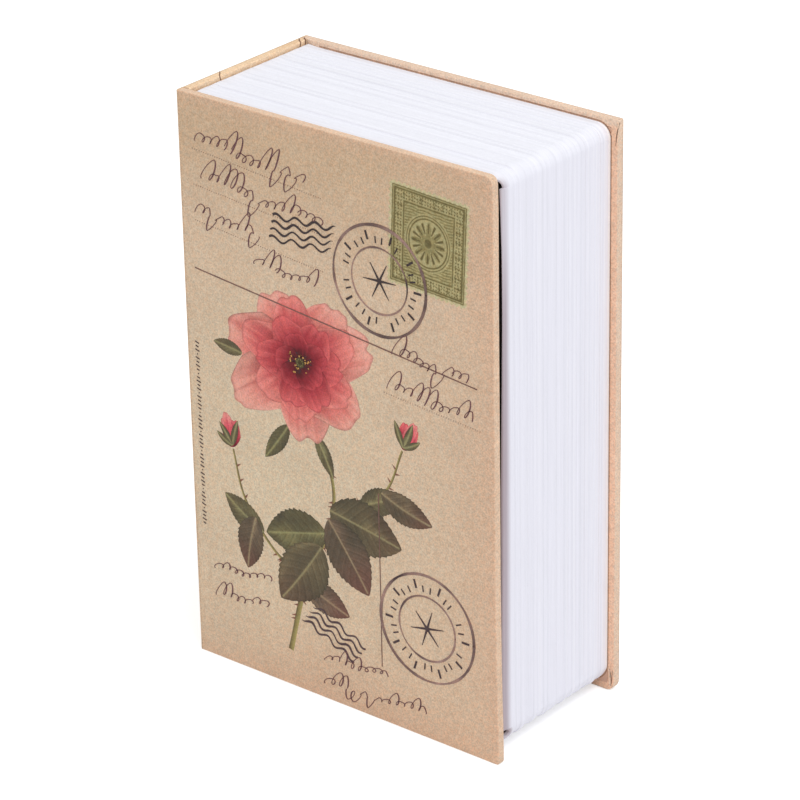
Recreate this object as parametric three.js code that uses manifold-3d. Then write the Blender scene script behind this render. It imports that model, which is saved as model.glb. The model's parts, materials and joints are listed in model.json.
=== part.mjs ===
// A small safe disguised as a hardback book: a printed book case, a white moulded page block, and a
// steel box in it whose lid opens behind the front cover and locks with a cam lock.
// Millimetres. X runs from the spine to the fore edge, Y from the front cover to the back cover,
// Z up. The book stands on its bottom edges; the origin is the middle of its footprint.

import * as THREE from 'three';
import * as BufferGeometryUtils from 'three/addons/utils/BufferGeometryUtils.js';
import Module from 'manifold-3d';

const wasm = await Module();
wasm.setup();

// Sizes of the closed book
const BOOK_WIDTH = 115;
const BOOK_THICKNESS = 57;
const BOOK_HEIGHT = 180;

// The case: three boards in printed paper, with lining papers inside
const BOARD = 1.75;
const PAPER = 0.25;
const GLUE = 0.1;
const COVER = BOARD + 3 * PAPER + 3 * GLUE;
const TURN_IN = 12;
const LINING_MARGIN = 2.5;
const CREASE_GAP = 0.4;
const FRONT_BOARD_SHORTFALL = 2;

// The page block: a white moulded frame with page ribs round three sides
const SHELL_WALL = 1.5;
const SHELL_FRONT_SPACE = 2.6;
const SHELL_SPINE_GAP = 0.5;
const SHELL_FORE_RECESS = 2.3;
const SHELL_TOP_RECESS = 1.3;
const SHELL_BOTTOM_RECESS = 2.3;
const SHELL_TOP_CORNER_RADIUS = 4.5;
const SHELL_BOTTOM_CORNER_RADIUS = 6.5;
const SHELL_RIB_DEPTH = 0.6;
const NOTCH_DEPTH = 2;
const NOTCH_WIDTH = 2.5;
const TOP_NOTCH_DROP = 4;
const BOTTOM_NOTCH_RISE = 6.5;

// The steel box: a folded pan with a flanged mouth, and a flat lid
const PAN_SHEET = 0.8;
const PAN_SIDE_GAP = 0.4;
const PAN_BACK_GAP = 0.3;
const PAN_CORNER_RADIUS = 5;
const FLANGE_WIDTH = 6;
const MOUTH_CORNER_RADIUS = 3;
const LID_SHEET = 1;
const LID_FRONT_SET_BACK = 0.1;
const LID_EDGE_GAP = 0.5;
const SEAT_GAP = 0.3;

// The lid's two butt hinges and their rivets
const HINGE_SHEET = 0.8;
const KNUCKLE_RADIUS = 1.4;
const KNUCKLE_GAP = 0.4;
const PIN_RADIUS = 0.7;
const PIN_CLEARANCE = 0.1;
const PIN_HEAD_RADIUS = 1.2;
const PIN_HEAD_HEIGHT = 0.6;
const PIN_SETBACK = 8.3;
const LEAF_LENGTH = 30;
const BOX_LEAF_WIDTH = 5.5;
const LID_LEAF_WIDTH = 9;
const LEAF_CLEARANCE = 0.5;
const LID_HINGE_GAP = 0.6;
const LID_FLANGE_LAP = 1.8;
const HINGE_PLACE_SHARES = [0.21, 0.79];
const RIVET_SHANK_RADIUS = 1;
const RIVET_HOLE_RADIUS = 1.2;
const RIVET_HEAD_RADIUS = 1.8;
const RIVET_HEAD_HEIGHT = 0.5;
const RIVET_TAIL_RADIUS = 1.6;
const RIVET_TAIL_HEIGHT = 0.5;
const RIVET_GAP = 0.1;
const RIVET_END_DISTANCE = 6;
const RIVET_SPREAD = LEAF_LENGTH / 2 - RIVET_END_DISTANCE;

// The cam lock in the lid and the keeper that its cam turns behind
const LOCK_SETBACK = 18.9;
const LOCK_BEZEL_RADIUS = 10;
const LOCK_BEZEL_HEIGHT = 1.4;
const LOCK_BEZEL_ROUND = 0.6;
const LOCK_BARREL_RADIUS = 8;
const LOCK_BARREL_LENGTH = 9.1;
const LOCK_HOLE_GAP = 0.3;
const PLUG_RADIUS = 4.8;
const PLUG_CLEARANCE = 0.2;
const PLUG_SET_BACK = 0.2;
const PLUG_HEAD_RADIUS = 6.2;
const PLUG_HEAD_HEIGHT = 0.8;
const KEYWAY_WIDTH = 1.4;
const KEYWAY_HEIGHT = 6;
const WAFER_COUNT = 4;
const WAFER_SHEET = 0.6;
const WAFER_WIDTH = 3.4;
const WAFER_HEIGHT = 8.2;
const WAFER_WINDOW_WIDTH = 1.6;
const WAFER_WINDOW_HEIGHT = 4.4;
const WAFER_CLEARANCE = 0.15;
const TENON_SIDE = 6;
const TENON_CLEARANCE = 0.15;
const CAM_SHEET = 1.5;
const CAM_HUB_RADIUS = 7;
const CAM_WIDTH = 10;
const CAM_REACH = 17;
const NUT_ACROSS_FLATS = 20;
const NUT_HEIGHT = 3;
const WASHER_RADIUS = 4.5;
const WASHER_SHEET = 0.5;
const SCREW_HEAD_RADIUS = 3;
const SCREW_HEAD_HEIGHT = 1.8;
const SCREW_SHANK_RADIUS = 1.4;
const SCREW_HOLE_RADIUS = 1.6;
const SCREW_GRIP = 3;
const SCREW_SLOT_WIDTH = 0.8;
const SCREW_SLOT_DEPTH = 0.9;
const LOCK_STACK_GAP = 0.1;
const KEEPER_SHEET = 1;
const KEEPER_DEPTH = 6.4;
const KEEPER_REACH = 7;
const KEEPER_LENGTH = 30;

// Steps of round forms, and how far a cut runs past what it cuts
const ROUND_STEPS = 32;
const SMALL_ROUND_STEPS = 20;
const CORNER_STEPS = 7;
const OVERRUN = 1;

// Where each page bundle's edge lies, from the front rim to the back cover: its share of the
// shell's depth, and how far it is set in, as a share of the rib depth
const BUNDLE_SHARES = [
  [0.096, 0.2], [0.049, 0.9], [0.07, 0.1], [0.049, 0.7], [0.039, 0.4], [0.064, 0.9], [0.035, 0.5],
  [0.084, 0], [0.08, 0.7], [0.037, 0.3], [0.041, 0.8], [0.039, 0.4], [0.039, 0.7], [0.041, 0.3],
  [0.043, 0.8], [0.047, 0.4], [0.053, 0.1], [0.027, 0.6], [0.039, 0.3], [0.027, 0.5],
];

// Planes that the pieces share
const BOOK = {
  spine: -BOOK_WIDTH / 2,
  fore: BOOK_WIDTH / 2,
  front: -BOOK_THICKNESS / 2,
  back: BOOK_THICKNESS / 2,
  frontFore: BOOK_WIDTH / 2 - FRONT_BOARD_SHORTFALL,
  frontInside: -BOOK_THICKNESS / 2 + COVER,
  backInside: BOOK_THICKNESS / 2 - COVER,
  spineInside: -BOOK_WIDTH / 2 + COVER,
};
const SHELL = {
  x: [BOOK.spineInside + SHELL_SPINE_GAP, BOOK.fore - SHELL_FORE_RECESS],
  y: [BOOK.frontInside + SHELL_FRONT_SPACE, BOOK.backInside - GLUE],
  z: [SHELL_BOTTOM_RECESS, BOOK_HEIGHT - SHELL_TOP_RECESS],
};
const LID_FRONT = SHELL.y[0] + LID_FRONT_SET_BACK;
const LID_BACK = LID_FRONT + LID_SHEET;
const PAN_FRONT = LID_BACK + SEAT_GAP;
const PAN_INSET = SHELL_WALL + PAN_SIDE_GAP;
const PAN = {
  x: [SHELL.x[0] + PAN_INSET, SHELL.x[1] - PAN_INSET],
  y: [PAN_FRONT, BOOK.backInside - PAN_BACK_GAP],
  z: [SHELL.z[0] + PAN_INSET, SHELL.z[1] - PAN_INSET],
};
const PIN = { x: PAN.x[0] + PIN_SETBACK, y: PAN_FRONT - SEAT_GAP - KNUCKLE_RADIUS };
const LID = {
  x: [PIN.x + KNUCKLE_RADIUS + LID_HINGE_GAP, SHELL.x[1] - SHELL_WALL - LID_EDGE_GAP],
  y: [LID_FRONT, LID_BACK],
  z: [SHELL.z[0] + SHELL_WALL + LID_EDGE_GAP, SHELL.z[1] - SHELL_WALL - LID_EDGE_GAP],
};
const MOUTH = {
  x: [LID.x[0] + LID_FLANGE_LAP, PAN.x[1] - FLANGE_WIDTH],
  z: [PAN.z[0] + FLANGE_WIDTH, PAN.z[1] - FLANGE_WIDTH],
};
const LOCK = { x: LID.x[1] - LOCK_SETBACK, z: (LID.z[0] + LID.z[1]) / 2 };
const BEZEL_BACK = LID_FRONT - SEAT_GAP;
const BEZEL_FRONT = BEZEL_BACK - LOCK_BEZEL_HEIGHT;
const BARREL_BACK = BEZEL_BACK + LOCK_BARREL_LENGTH;
const CAM_FRONT = BARREL_BACK + SEAT_GAP;
const CAM_BACK = CAM_FRONT + CAM_SHEET;
const PLUG_FRONT = BEZEL_FRONT + PLUG_SET_BACK;
const SCREW_HOLE_FRONT = BARREL_BACK - SCREW_GRIP;
const WAFER_ROOM = [PLUG_FRONT + PLUG_HEAD_HEIGHT + 2 * PLUG_CLEARANCE, SCREW_HOLE_FRONT];

// Materials
const printedPaper = new THREE.MeshStandardMaterial({ color: 0xcfb38c, roughness: 0.85, metalness: 0 });
const greyBoard = new THREE.MeshStandardMaterial({ color: 0x9a9184, roughness: 0.95, metalness: 0 });
const liningPaper = new THREE.MeshStandardMaterial({ color: 0xefe6d2, roughness: 0.9, metalness: 0 });
const whitePlastic = new THREE.MeshStandardMaterial({ color: 0xf0f0f6, roughness: 0.5, metalness: 0 });
const blackSteel = new THREE.MeshStandardMaterial({ color: 0x141416, roughness: 0.55, metalness: 0.3 });
const zincSteel = new THREE.MeshStandardMaterial({ color: 0xb9bdc2, roughness: 0.35, metalness: 1 });
const chromeMetal = new THREE.MeshStandardMaterial({ color: 0xd4d6d9, roughness: 0.15, metalness: 1 });
const brassMetal = new THREE.MeshStandardMaterial({ color: 0xc8a55a, roughness: 0.3, metalness: 1 });

const model = new THREE.Group();

function place(name, geometry, material, parent = model) {
  const mesh = new THREE.Mesh(geometry, material);
  mesh.name = name;
  parent.add(mesh);
  return mesh;
}

// Solids and the boolean joins and cuts between them

function toSolid(geometry) {
  const bare = geometry.clone();
  bare.deleteAttribute('normal');
  bare.deleteAttribute('uv');
  const merged = BufferGeometryUtils.mergeVertices(bare);
  return new wasm.Manifold(new wasm.Mesh({
    numProp: 3,
    vertProperties: new Float32Array(merged.attributes.position.array),
    triVerts: new Uint32Array(merged.index.array),
  }));
}

function toGeometry(solid) {
  const mesh = solid.getMesh();
  const geometry = new THREE.BufferGeometry();
  geometry.setAttribute('position', new THREE.BufferAttribute(new Float32Array(mesh.vertProperties), 3));
  geometry.setIndex(new THREE.BufferAttribute(new Uint32Array(mesh.triVerts), 1));
  geometry.computeVertexNormals();
  return geometry;
}

function join(...geometries) {
  return toGeometry(geometries.map(toSolid).reduce((whole, part) => whole.add(part)));
}

function cut(geometry, cutters) {
  return toGeometry(cutters.map(toSolid).reduce((left, cutter) => left.subtract(cutter), toSolid(geometry)));
}

function block(x, y, z) {
  const geometry = new THREE.BoxGeometry(x[1] - x[0], y[1] - y[0], z[1] - z[0]);
  return geometry.translate((x[0] + x[1]) / 2, (y[0] + y[1]) / 2, (z[0] + z[1]) / 2);
}

// A cylinder along Y, through the point x, z
function rodY(radius, y, x, z, steps = SMALL_ROUND_STEPS) {
  const geometry = new THREE.CylinderGeometry(radius, radius, y[1] - y[0], steps);
  return geometry.translate(x, (y[0] + y[1]) / 2, z);
}

// A cylinder along Z, through the point x, y
function rodZ(radius, z, x, y) {
  const geometry = new THREE.CylinderGeometry(radius, radius, z[1] - z[0], SMALL_ROUND_STEPS);
  return geometry.rotateX(Math.PI / 2).translate(x, y, (z[0] + z[1]) / 2);
}

// A flat outline in X and Z, given thickness along Y
function slab(outline, y) {
  const geometry = new THREE.ExtrudeGeometry(outline, { depth: y[1] - y[0], bevelEnabled: false });
  return geometry.rotateX(Math.PI / 2).translate(0, y[1], 0);
}

// The points of a rectangle in X and Z whose corners have their own radii: first the two at the
// spine side, from the bottom up, then the two at the fore edge, from the top down
function roundedPoints(x, z, radii) {
  const corners = [
    { centre: [x[0] + radii[0], z[0] + radii[0]], radius: radii[0], start: 1.5 * Math.PI },
    { centre: [x[0] + radii[1], z[1] - radii[1]], radius: radii[1], start: Math.PI },
    { centre: [x[1] - radii[2], z[1] - radii[2]], radius: radii[2], start: Math.PI / 2 },
    { centre: [x[1] - radii[3], z[0] + radii[3]], radius: radii[3], start: 0 },
  ];
  const points = [];
  for (const corner of corners) {
    const steps = corner.radius > 0 ? CORNER_STEPS : 0;
    for (let i = 0; i <= steps; i += 1) {
      const angle = corner.start - (steps ? i / steps : 0) * (Math.PI / 2);
      points.push(new THREE.Vector2(
        corner.centre[0] + corner.radius * Math.cos(angle),
        corner.centre[1] + corner.radius * Math.sin(angle),
      ));
    }
  }
  return points;
}

function roundedPlate(x, z, radii, y) {
  return slab(new THREE.Shape(roundedPoints(x, z, radii)), y);
}

function grown(range, amount) {
  return [range[0] - amount, range[1] + amount];
}

// Case boards and papers

// Printed paper wrapped round a board: a sheet outside, rims round the edges and turn-ins inside.
// inward is +1 when the inside of the book lies at the higher coordinate of the thin direction.
function wrappedPaper(size, thin, inward, edges) {
  const inner = { x: [...size.x], y: [...size.y], z: [...size.z] };
  const windowCut = { x: [...size.x], y: [...size.y], z: [...size.z] };
  for (const [axis, end] of edges) {
    const sign = end ? -1 : 1;
    inner[axis][end] += sign * PAPER;
    windowCut[axis][end] += sign * TURN_IN;
  }
  for (const axis of ['x', 'y', 'z']) {
    for (const end of [0, 1]) {
      const wrapped = edges.some(([edgeAxis, edgeEnd]) => edgeAxis === axis && edgeEnd === end);
      if (axis !== thin && !wrapped) {
        inner[axis][end] += end ? OVERRUN : -OVERRUN;
        windowCut[axis][end] += end ? OVERRUN : -OVERRUN;
      }
    }
  }
  inner[thin] = grown(size[thin], -PAPER);
  const inside = inward > 0 ? 1 : 0;
  const middle = (size[thin][0] + size[thin][1]) / 2;
  windowCut[thin] = inside ? [middle, size[thin][1] + OVERRUN] : [size[thin][0] - OVERRUN, middle];
  return cut(block(size.x, size.y, size.z), [
    block(inner.x, inner.y, inner.z),
    block(windowCut.x, windowCut.y, windowCut.z),
  ]);
}

const WRAP_DEPTH = COVER - PAPER - GLUE;
const SKIN = PAPER + GLUE;

function frontCover() {
  const start = BOOK.spine + CREASE_GAP;
  const wrapY = [BOOK.front, BOOK.front + WRAP_DEPTH];
  const paper = { x: [start, BOOK.frontFore], y: wrapY, z: [0, BOOK_HEIGHT] };
  place('front_cover_paper', wrappedPaper(paper, 'y', 1, [['x', 1], ['z', 0], ['z', 1]]), printedPaper);
  place('front_cover_board', block(
    [start, BOOK.frontFore - SKIN],
    grown(wrapY, -SKIN),
    [SKIN, BOOK_HEIGHT - SKIN],
  ), greyBoard);
  place('front_endpaper', block(
    [start, BOOK.frontFore - LINING_MARGIN],
    [BOOK.frontInside - PAPER, BOOK.frontInside],
    [LINING_MARGIN, BOOK_HEIGHT - LINING_MARGIN],
  ), liningPaper);
}

function backCover() {
  const wrapY = [BOOK.back - WRAP_DEPTH, BOOK.back];
  const paper = { x: [BOOK.spine, BOOK.fore], y: wrapY, z: [0, BOOK_HEIGHT] };
  place('back_cover_paper', wrappedPaper(paper, 'y', -1, [['x', 1], ['z', 0], ['z', 1]]), printedPaper);
  place('back_cover_board', block(
    [BOOK.spine, BOOK.fore - SKIN],
    grown(wrapY, -SKIN),
    [SKIN, BOOK_HEIGHT - SKIN],
  ), greyBoard);
  place('back_endpaper', block(
    [BOOK.spine, BOOK.fore - LINING_MARGIN],
    [BOOK.backInside, BOOK.backInside + PAPER],
    [LINING_MARGIN, BOOK_HEIGHT - LINING_MARGIN],
  ), liningPaper);
}

// The spine's paper also runs over the thickness of the front cover, to the crease at the corner
function spine() {
  const spineY = [BOOK.frontInside + CREASE_GAP, BOOK.backInside - GLUE];
  const wrapX = [BOOK.spine, BOOK.spine + WRAP_DEPTH];
  const wrap = wrappedPaper({ x: wrapX, y: spineY, z: [0, BOOK_HEIGHT] }, 'x', 1, [['z', 0], ['z', 1]]);
  const creaseStrip = block(
    [BOOK.spine, BOOK.spine + PAPER],
    [BOOK.front, spineY[0] + OVERRUN],
    [0, BOOK_HEIGHT],
  );
  place('spine_paper', join(wrap, creaseStrip), printedPaper);
  place('spine_board', block(grown(wrapX, -SKIN), spineY, [SKIN, BOOK_HEIGHT - SKIN]), greyBoard);
  place('spine_liner', block(
    [BOOK.spineInside - PAPER, BOOK.spineInside],
    spineY,
    [LINING_MARGIN, BOOK_HEIGHT - LINING_MARGIN],
  ), liningPaper);
}

// The white page block

// The corner radii of an outline set in from the page block's: square at the spine, round at the
// fore edge
function shellRadii(inset) {
  return [0, 0, SHELL_TOP_CORNER_RADIUS - inset, SHELL_BOTTOM_CORNER_RADIUS - inset];
}

// A tube of cross-sections along Y: each bundle of pages has its own inset from the outline
function pageBlockOutside() {
  const sections = [];
  const depth = SHELL.y[1] - SHELL.y[0];
  const shareSum = BUNDLE_SHARES.reduce((sum, bundle) => sum + bundle[0], 0);
  let reached = 0;
  for (const [depthShare, insetShare] of BUNDLE_SHARES) {
    const inset = insetShare * SHELL_RIB_DEPTH;
    const outline = roundedPoints(
      [SHELL.x[0], SHELL.x[1] - inset],
      [SHELL.z[0] + inset, SHELL.z[1] - inset],
      shellRadii(inset),
    );
    for (const share of [reached, reached + depthShare]) {
      sections.push({ y: SHELL.y[0] + (share / shareSum) * depth, outline });
    }
    reached += depthShare;
  }
  return loft(sections);
}

// Joins outlines of equal point counts into one closed body, the first at the lowest Y
function loft(sections) {
  const count = sections[0].outline.length;
  const positions = [];
  const index = [];
  for (const section of sections) {
    for (const point of section.outline) {
      positions.push(point.x, section.y, point.y);
    }
  }
  for (let level = 0; level + 1 < sections.length; level += 1) {
    for (let i = 0; i < count; i += 1) {
      const a = level * count + i;
      const b = level * count + ((i + 1) % count);
      index.push(a, b, a + count, b, b + count, a + count);
    }
  }
  const last = (sections.length - 1) * count;
  for (let i = 1; i + 1 < count; i += 1) {
    index.push(0, i + 1, i);
    index.push(last, last + i, last + i + 1);
  }
  const geometry = new THREE.BufferGeometry();
  geometry.setAttribute('position', new THREE.Float32BufferAttribute(positions, 3));
  geometry.setIndex(index);
  return geometry;
}

// A small notch at each fore corner of the front rim shows the corner of the steel lid
function pageBlock() {
  const inside = roundedPlate(
    grown(SHELL.x, -SHELL_WALL),
    grown(SHELL.z, -SHELL_WALL),
    shellRadii(SHELL_WALL),
    grown(SHELL.y, OVERRUN),
  );
  const notchX = [SHELL.x[1] - NOTCH_WIDTH, SHELL.x[1] + OVERRUN];
  const notchY = [SHELL.y[0] - OVERRUN, SHELL.y[0] + NOTCH_DEPTH];
  place('page_block_shell', cut(pageBlockOutside(), [
    inside,
    block(notchX, notchY, [SHELL.z[1] - TOP_NOTCH_DROP, SHELL.z[1] + OVERRUN]),
    block(notchX, notchY, [SHELL.z[0] - OVERRUN, SHELL.z[0] + BOTTOM_NOTCH_RISE]),
  ]), whitePlastic);
}

// The steel box

const hingePlaces = HINGE_PLACE_SHARES.map((share) => LID.z[0] + share * (LID.z[1] - LID.z[0]));
const boxRivetX = PIN.x - KNUCKLE_RADIUS - LEAF_CLEARANCE - BOX_LEAF_WIDTH / 2;
const lidRivetX = LID.x[0] + (LID_LEAF_WIDTH + LID_FLANGE_LAP + RIVET_TAIL_RADIUS) / 2;

// Holes along Y at a hinge's two rivets
function rivetHoles(x, y) {
  return hingePlaces.flatMap((z) => [-1, 1].map((side) => (
    rodY(RIVET_HOLE_RADIUS, grown(y, OVERRUN), x, z + side * RIVET_SPREAD)
  )));
}

function boxPan() {
  const radii = Array(4).fill(PAN_CORNER_RADIUS);
  const innerRadii = Array(4).fill(PAN_CORNER_RADIUS - PAN_SHEET);
  const mouthRadii = Array(4).fill(MOUTH_CORNER_RADIUS);
  const innerY = grown(PAN.y, -PAN_SHEET);
  place('box_pan', cut(roundedPlate(PAN.x, PAN.z, radii, PAN.y), [
    roundedPlate(grown(PAN.x, -PAN_SHEET), grown(PAN.z, -PAN_SHEET), innerRadii, innerY),
    roundedPlate(MOUTH.x, MOUTH.z, mouthRadii, [PAN.y[0] - OVERRUN, innerY[0] + OVERRUN]),
    ...rivetHoles(boxRivetX, [PAN.y[0], innerY[0]]),
  ]), blackSteel);
}

function boxLid() {
  const radii = shellRadii(SHELL_WALL + LID_EDGE_GAP);
  const lockHoleRadius = LOCK_BARREL_RADIUS + LOCK_HOLE_GAP;
  const lockHole = rodY(lockHoleRadius, grown(LID.y, OVERRUN), LOCK.x, LOCK.z, ROUND_STEPS);
  place('box_lid', cut(roundedPlate(LID.x, LID.z, radii, LID.y), [
    lockHole,
    ...rivetHoles(lidRivetX, LID.y),
  ]), blackSteel);
}

// The lid's hinges

// Splits a leaf's length into its three knuckles, with the running gap between them
function knuckleRanges(z) {
  const third = (LEAF_LENGTH - 2 * KNUCKLE_GAP) / 3;
  const bottom = z - LEAF_LENGTH / 2;
  return [0, 1, 2].map((place) => {
    const low = bottom + place * (third + KNUCKLE_GAP);
    return [low, low + third];
  });
}

function leaf(plate, knuckles, bridgeX, bridgeY, rivetX) {
  const z = (plate.z[0] + plate.z[1]) / 2;
  const solids = knuckles.flatMap((range) => [
    rodZ(KNUCKLE_RADIUS, range, PIN.x, PIN.y),
    block(bridgeX, bridgeY, range),
  ]);
  const pinHole = rodZ(PIN_RADIUS + PIN_CLEARANCE, grown(plate.z, OVERRUN), PIN.x, PIN.y);
  const holes = [-1, 1].map((side) => (
    rodY(RIVET_HOLE_RADIUS, grown(plate.y, OVERRUN), rivetX, z + side * RIVET_SPREAD)
  ));
  return cut(join(block(plate.x, plate.y, plate.z), ...solids), [pinHole, ...holes]);
}

// A rivet with a domed head in front of its sheets and a flat tail behind them
function rivet(front, back) {
  const points = [new THREE.Vector2(0, front - RIVET_GAP - RIVET_HEAD_HEIGHT)];
  const domeSteps = CORNER_STEPS;
  for (let i = 1; i <= domeSteps; i += 1) {
    const angle = (i / domeSteps) * (Math.PI / 2);
    points.push(new THREE.Vector2(
      RIVET_HEAD_RADIUS * Math.sin(angle),
      front - RIVET_GAP - RIVET_HEAD_HEIGHT * Math.cos(angle),
    ));
  }
  points.push(new THREE.Vector2(RIVET_SHANK_RADIUS, front - RIVET_GAP));
  points.push(new THREE.Vector2(RIVET_SHANK_RADIUS, back + RIVET_GAP));
  points.push(new THREE.Vector2(RIVET_TAIL_RADIUS, back + RIVET_GAP));
  points.push(new THREE.Vector2(RIVET_TAIL_RADIUS, back + RIVET_GAP + RIVET_TAIL_HEIGHT));
  points.push(new THREE.Vector2(0, back + RIVET_GAP + RIVET_TAIL_HEIGHT));
  return new THREE.LatheGeometry(points, SMALL_ROUND_STEPS);
}

function hinge(name, z) {
  const length = [z - LEAF_LENGTH / 2, z + LEAF_LENGTH / 2];
  const [lower, middle, upper] = knuckleRanges(z);
  const boxPlateEnd = PIN.x - KNUCKLE_RADIUS - LEAF_CLEARANCE;
  const boxPlate = {
    x: [boxPlateEnd - BOX_LEAF_WIDTH, boxPlateEnd],
    y: [PAN_FRONT - SEAT_GAP - HINGE_SHEET, PAN_FRONT - SEAT_GAP],
    z: length,
  };
  place(`${name}_hinge_box_leaf`, leaf(
    boxPlate,
    [lower, upper],
    [boxPlateEnd - OVERRUN, PIN.x],
    boxPlate.y,
    boxRivetX,
  ), zincSteel);
  const lidPlateStart = PIN.x + KNUCKLE_RADIUS + LEAF_CLEARANCE;
  const lidPlate = {
    x: [lidPlateStart, lidPlateStart + LID_LEAF_WIDTH],
    y: [LID_FRONT - SEAT_GAP - HINGE_SHEET, LID_FRONT - SEAT_GAP],
    z: length,
  };
  place(`${name}_hinge_lid_leaf`, leaf(
    lidPlate,
    [middle],
    [PIN.x, lidPlateStart + OVERRUN],
    lidPlate.y,
    lidRivetX,
  ), zincSteel);
  const headStart = LEAF_LENGTH / 2 + PIN_CLEARANCE;
  place(`${name}_hinge_pin`, join(
    rodZ(PIN_RADIUS, grown([z, z], headStart + PIN_HEAD_HEIGHT), PIN.x, PIN.y),
    rodZ(PIN_HEAD_RADIUS, [z + headStart, z + headStart + PIN_HEAD_HEIGHT], PIN.x, PIN.y),
    rodZ(PIN_HEAD_RADIUS, [z - headStart - PIN_HEAD_HEIGHT, z - headStart], PIN.x, PIN.y),
  ), zincSteel);
  const boxRivet = rivet(boxPlate.y[0], PAN_FRONT + PAN_SHEET);
  const lidRivet = rivet(lidPlate.y[0], LID_BACK);
  for (const side of [-1, 1]) {
    const end = side < 0 ? 'a' : 'b';
    const rivetZ = z + side * RIVET_SPREAD;
    place(`${name}_hinge_box_rivet_${end}`, boxRivet, zincSteel).position.set(boxRivetX, 0, rivetZ);
    place(`${name}_hinge_lid_rivet_${end}`, lidRivet, zincSteel).position.set(lidRivetX, 0, rivetZ);
  }
}

// The cam lock

function lathed(points) {
  return new THREE.LatheGeometry(points.map(([radius, y]) => new THREE.Vector2(radius, y)), ROUND_STEPS);
}

function lockHousing(lock) {
  const bore = PLUG_RADIUS + PLUG_CLEARANCE;
  const mouth = PLUG_HEAD_RADIUS + PLUG_CLEARANCE;
  const mouthFloor = PLUG_FRONT + PLUG_HEAD_HEIGHT + PLUG_CLEARANCE;
  place('lock_housing', lathed([
    [mouth, BEZEL_FRONT],
    [LOCK_BEZEL_RADIUS - LOCK_BEZEL_ROUND, BEZEL_FRONT],
    [LOCK_BEZEL_RADIUS, BEZEL_FRONT + LOCK_BEZEL_ROUND],
    [LOCK_BEZEL_RADIUS, BEZEL_BACK],
    [LOCK_BARREL_RADIUS, BEZEL_BACK],
    [LOCK_BARREL_RADIUS, BARREL_BACK],
    [bore, BARREL_BACK],
    [bore, mouthFloor],
    [mouth, mouthFloor],
    [mouth, BEZEL_FRONT],
  ]), chromeMetal, lock);
}

// A wafer is a thin plate across the plug, with a window for the key
function wafers(lock) {
  const slots = [];
  const pitch = (WAFER_ROOM[1] - WAFER_ROOM[0]) / WAFER_COUNT;
  for (let i = 0; i < WAFER_COUNT; i += 1) {
    const middle = WAFER_ROOM[0] + (i + 1 / 2) * pitch;
    const y = [middle - WAFER_SHEET / 2, middle + WAFER_SHEET / 2];
    const plate = block([-WAFER_WIDTH / 2, WAFER_WIDTH / 2], y, [-WAFER_HEIGHT / 2, WAFER_HEIGHT / 2]);
    const opening = block(
      [-WAFER_WINDOW_WIDTH / 2, WAFER_WINDOW_WIDTH / 2],
      grown(y, OVERRUN),
      [-WAFER_WINDOW_HEIGHT / 2, WAFER_WINDOW_HEIGHT / 2],
    );
    place(`lock_wafer_${i + 1}`, cut(plate, [opening]), brassMetal, lock);
    slots.push(block(
      grown([-WAFER_WIDTH / 2, WAFER_WIDTH / 2], WAFER_CLEARANCE),
      grown(y, WAFER_CLEARANCE),
      grown([-PLUG_RADIUS, PLUG_RADIUS], OVERRUN),
    ));
  }
  return slots;
}

function lockPlug(lock, slots) {
  const tenonBack = CAM_BACK - LOCK_STACK_GAP;
  const body = join(
    rodY(PLUG_RADIUS, [PLUG_FRONT, BARREL_BACK + LOCK_STACK_GAP], 0, 0, ROUND_STEPS),
    rodY(PLUG_HEAD_RADIUS, [PLUG_FRONT, PLUG_FRONT + PLUG_HEAD_HEIGHT], 0, 0, ROUND_STEPS),
    block([-TENON_SIDE / 2, TENON_SIDE / 2], [BARREL_BACK, tenonBack], [-TENON_SIDE / 2, TENON_SIDE / 2]),
  );
  const keyway = block(
    [-KEYWAY_WIDTH / 2, KEYWAY_WIDTH / 2],
    [PLUG_FRONT - OVERRUN, WAFER_ROOM[1]],
    [-KEYWAY_HEIGHT / 2, KEYWAY_HEIGHT / 2],
  );
  const screwHole = rodY(SCREW_HOLE_RADIUS, [SCREW_HOLE_FRONT, tenonBack + OVERRUN], 0, 0);
  place('lock_plug', cut(body, [keyway, screwHole, ...slots]), chromeMetal, lock);
}

// The cam points up when unlocked and turns a quarter turn to reach behind the keeper
function lockCam(lock) {
  const y = [CAM_FRONT, CAM_BACK];
  const tenonHole = TENON_SIDE / 2 + TENON_CLEARANCE;
  place('lock_cam', cut(join(
    rodY(CAM_HUB_RADIUS, y, 0, 0, ROUND_STEPS),
    block([-CAM_WIDTH / 2, CAM_WIDTH / 2], y, [0, CAM_REACH]),
  ), [
    block([-tenonHole, tenonHole], grown(y, OVERRUN), [-tenonHole, tenonHole]),
  ]), zincSteel, lock);
}

function camFastening(lock) {
  const washerY = [CAM_BACK + LOCK_STACK_GAP, CAM_BACK + LOCK_STACK_GAP + WASHER_SHEET];
  place('cam_washer', cut(rodY(WASHER_RADIUS, washerY, 0, 0), [
    rodY(SCREW_HOLE_RADIUS, grown(washerY, OVERRUN), 0, 0),
  ]), zincSteel, lock);
  const headY = [washerY[1] + LOCK_STACK_GAP, washerY[1] + LOCK_STACK_GAP + SCREW_HEAD_HEIGHT];
  const tip = SCREW_HOLE_FRONT + LOCK_STACK_GAP;
  const screw = join(
    rodY(SCREW_HEAD_RADIUS, headY, 0, 0),
    rodY(SCREW_SHANK_RADIUS, [tip, headY[0] + OVERRUN], 0, 0),
  );
  const slot = block(
    grown([-SCREW_HEAD_RADIUS, SCREW_HEAD_RADIUS], OVERRUN),
    [headY[1] - SCREW_SLOT_DEPTH, headY[1] + OVERRUN],
    [-SCREW_SLOT_WIDTH / 2, SCREW_SLOT_WIDTH / 2],
  );
  place('cam_screw', cut(screw, [slot]), zincSteel, lock);
}

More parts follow.
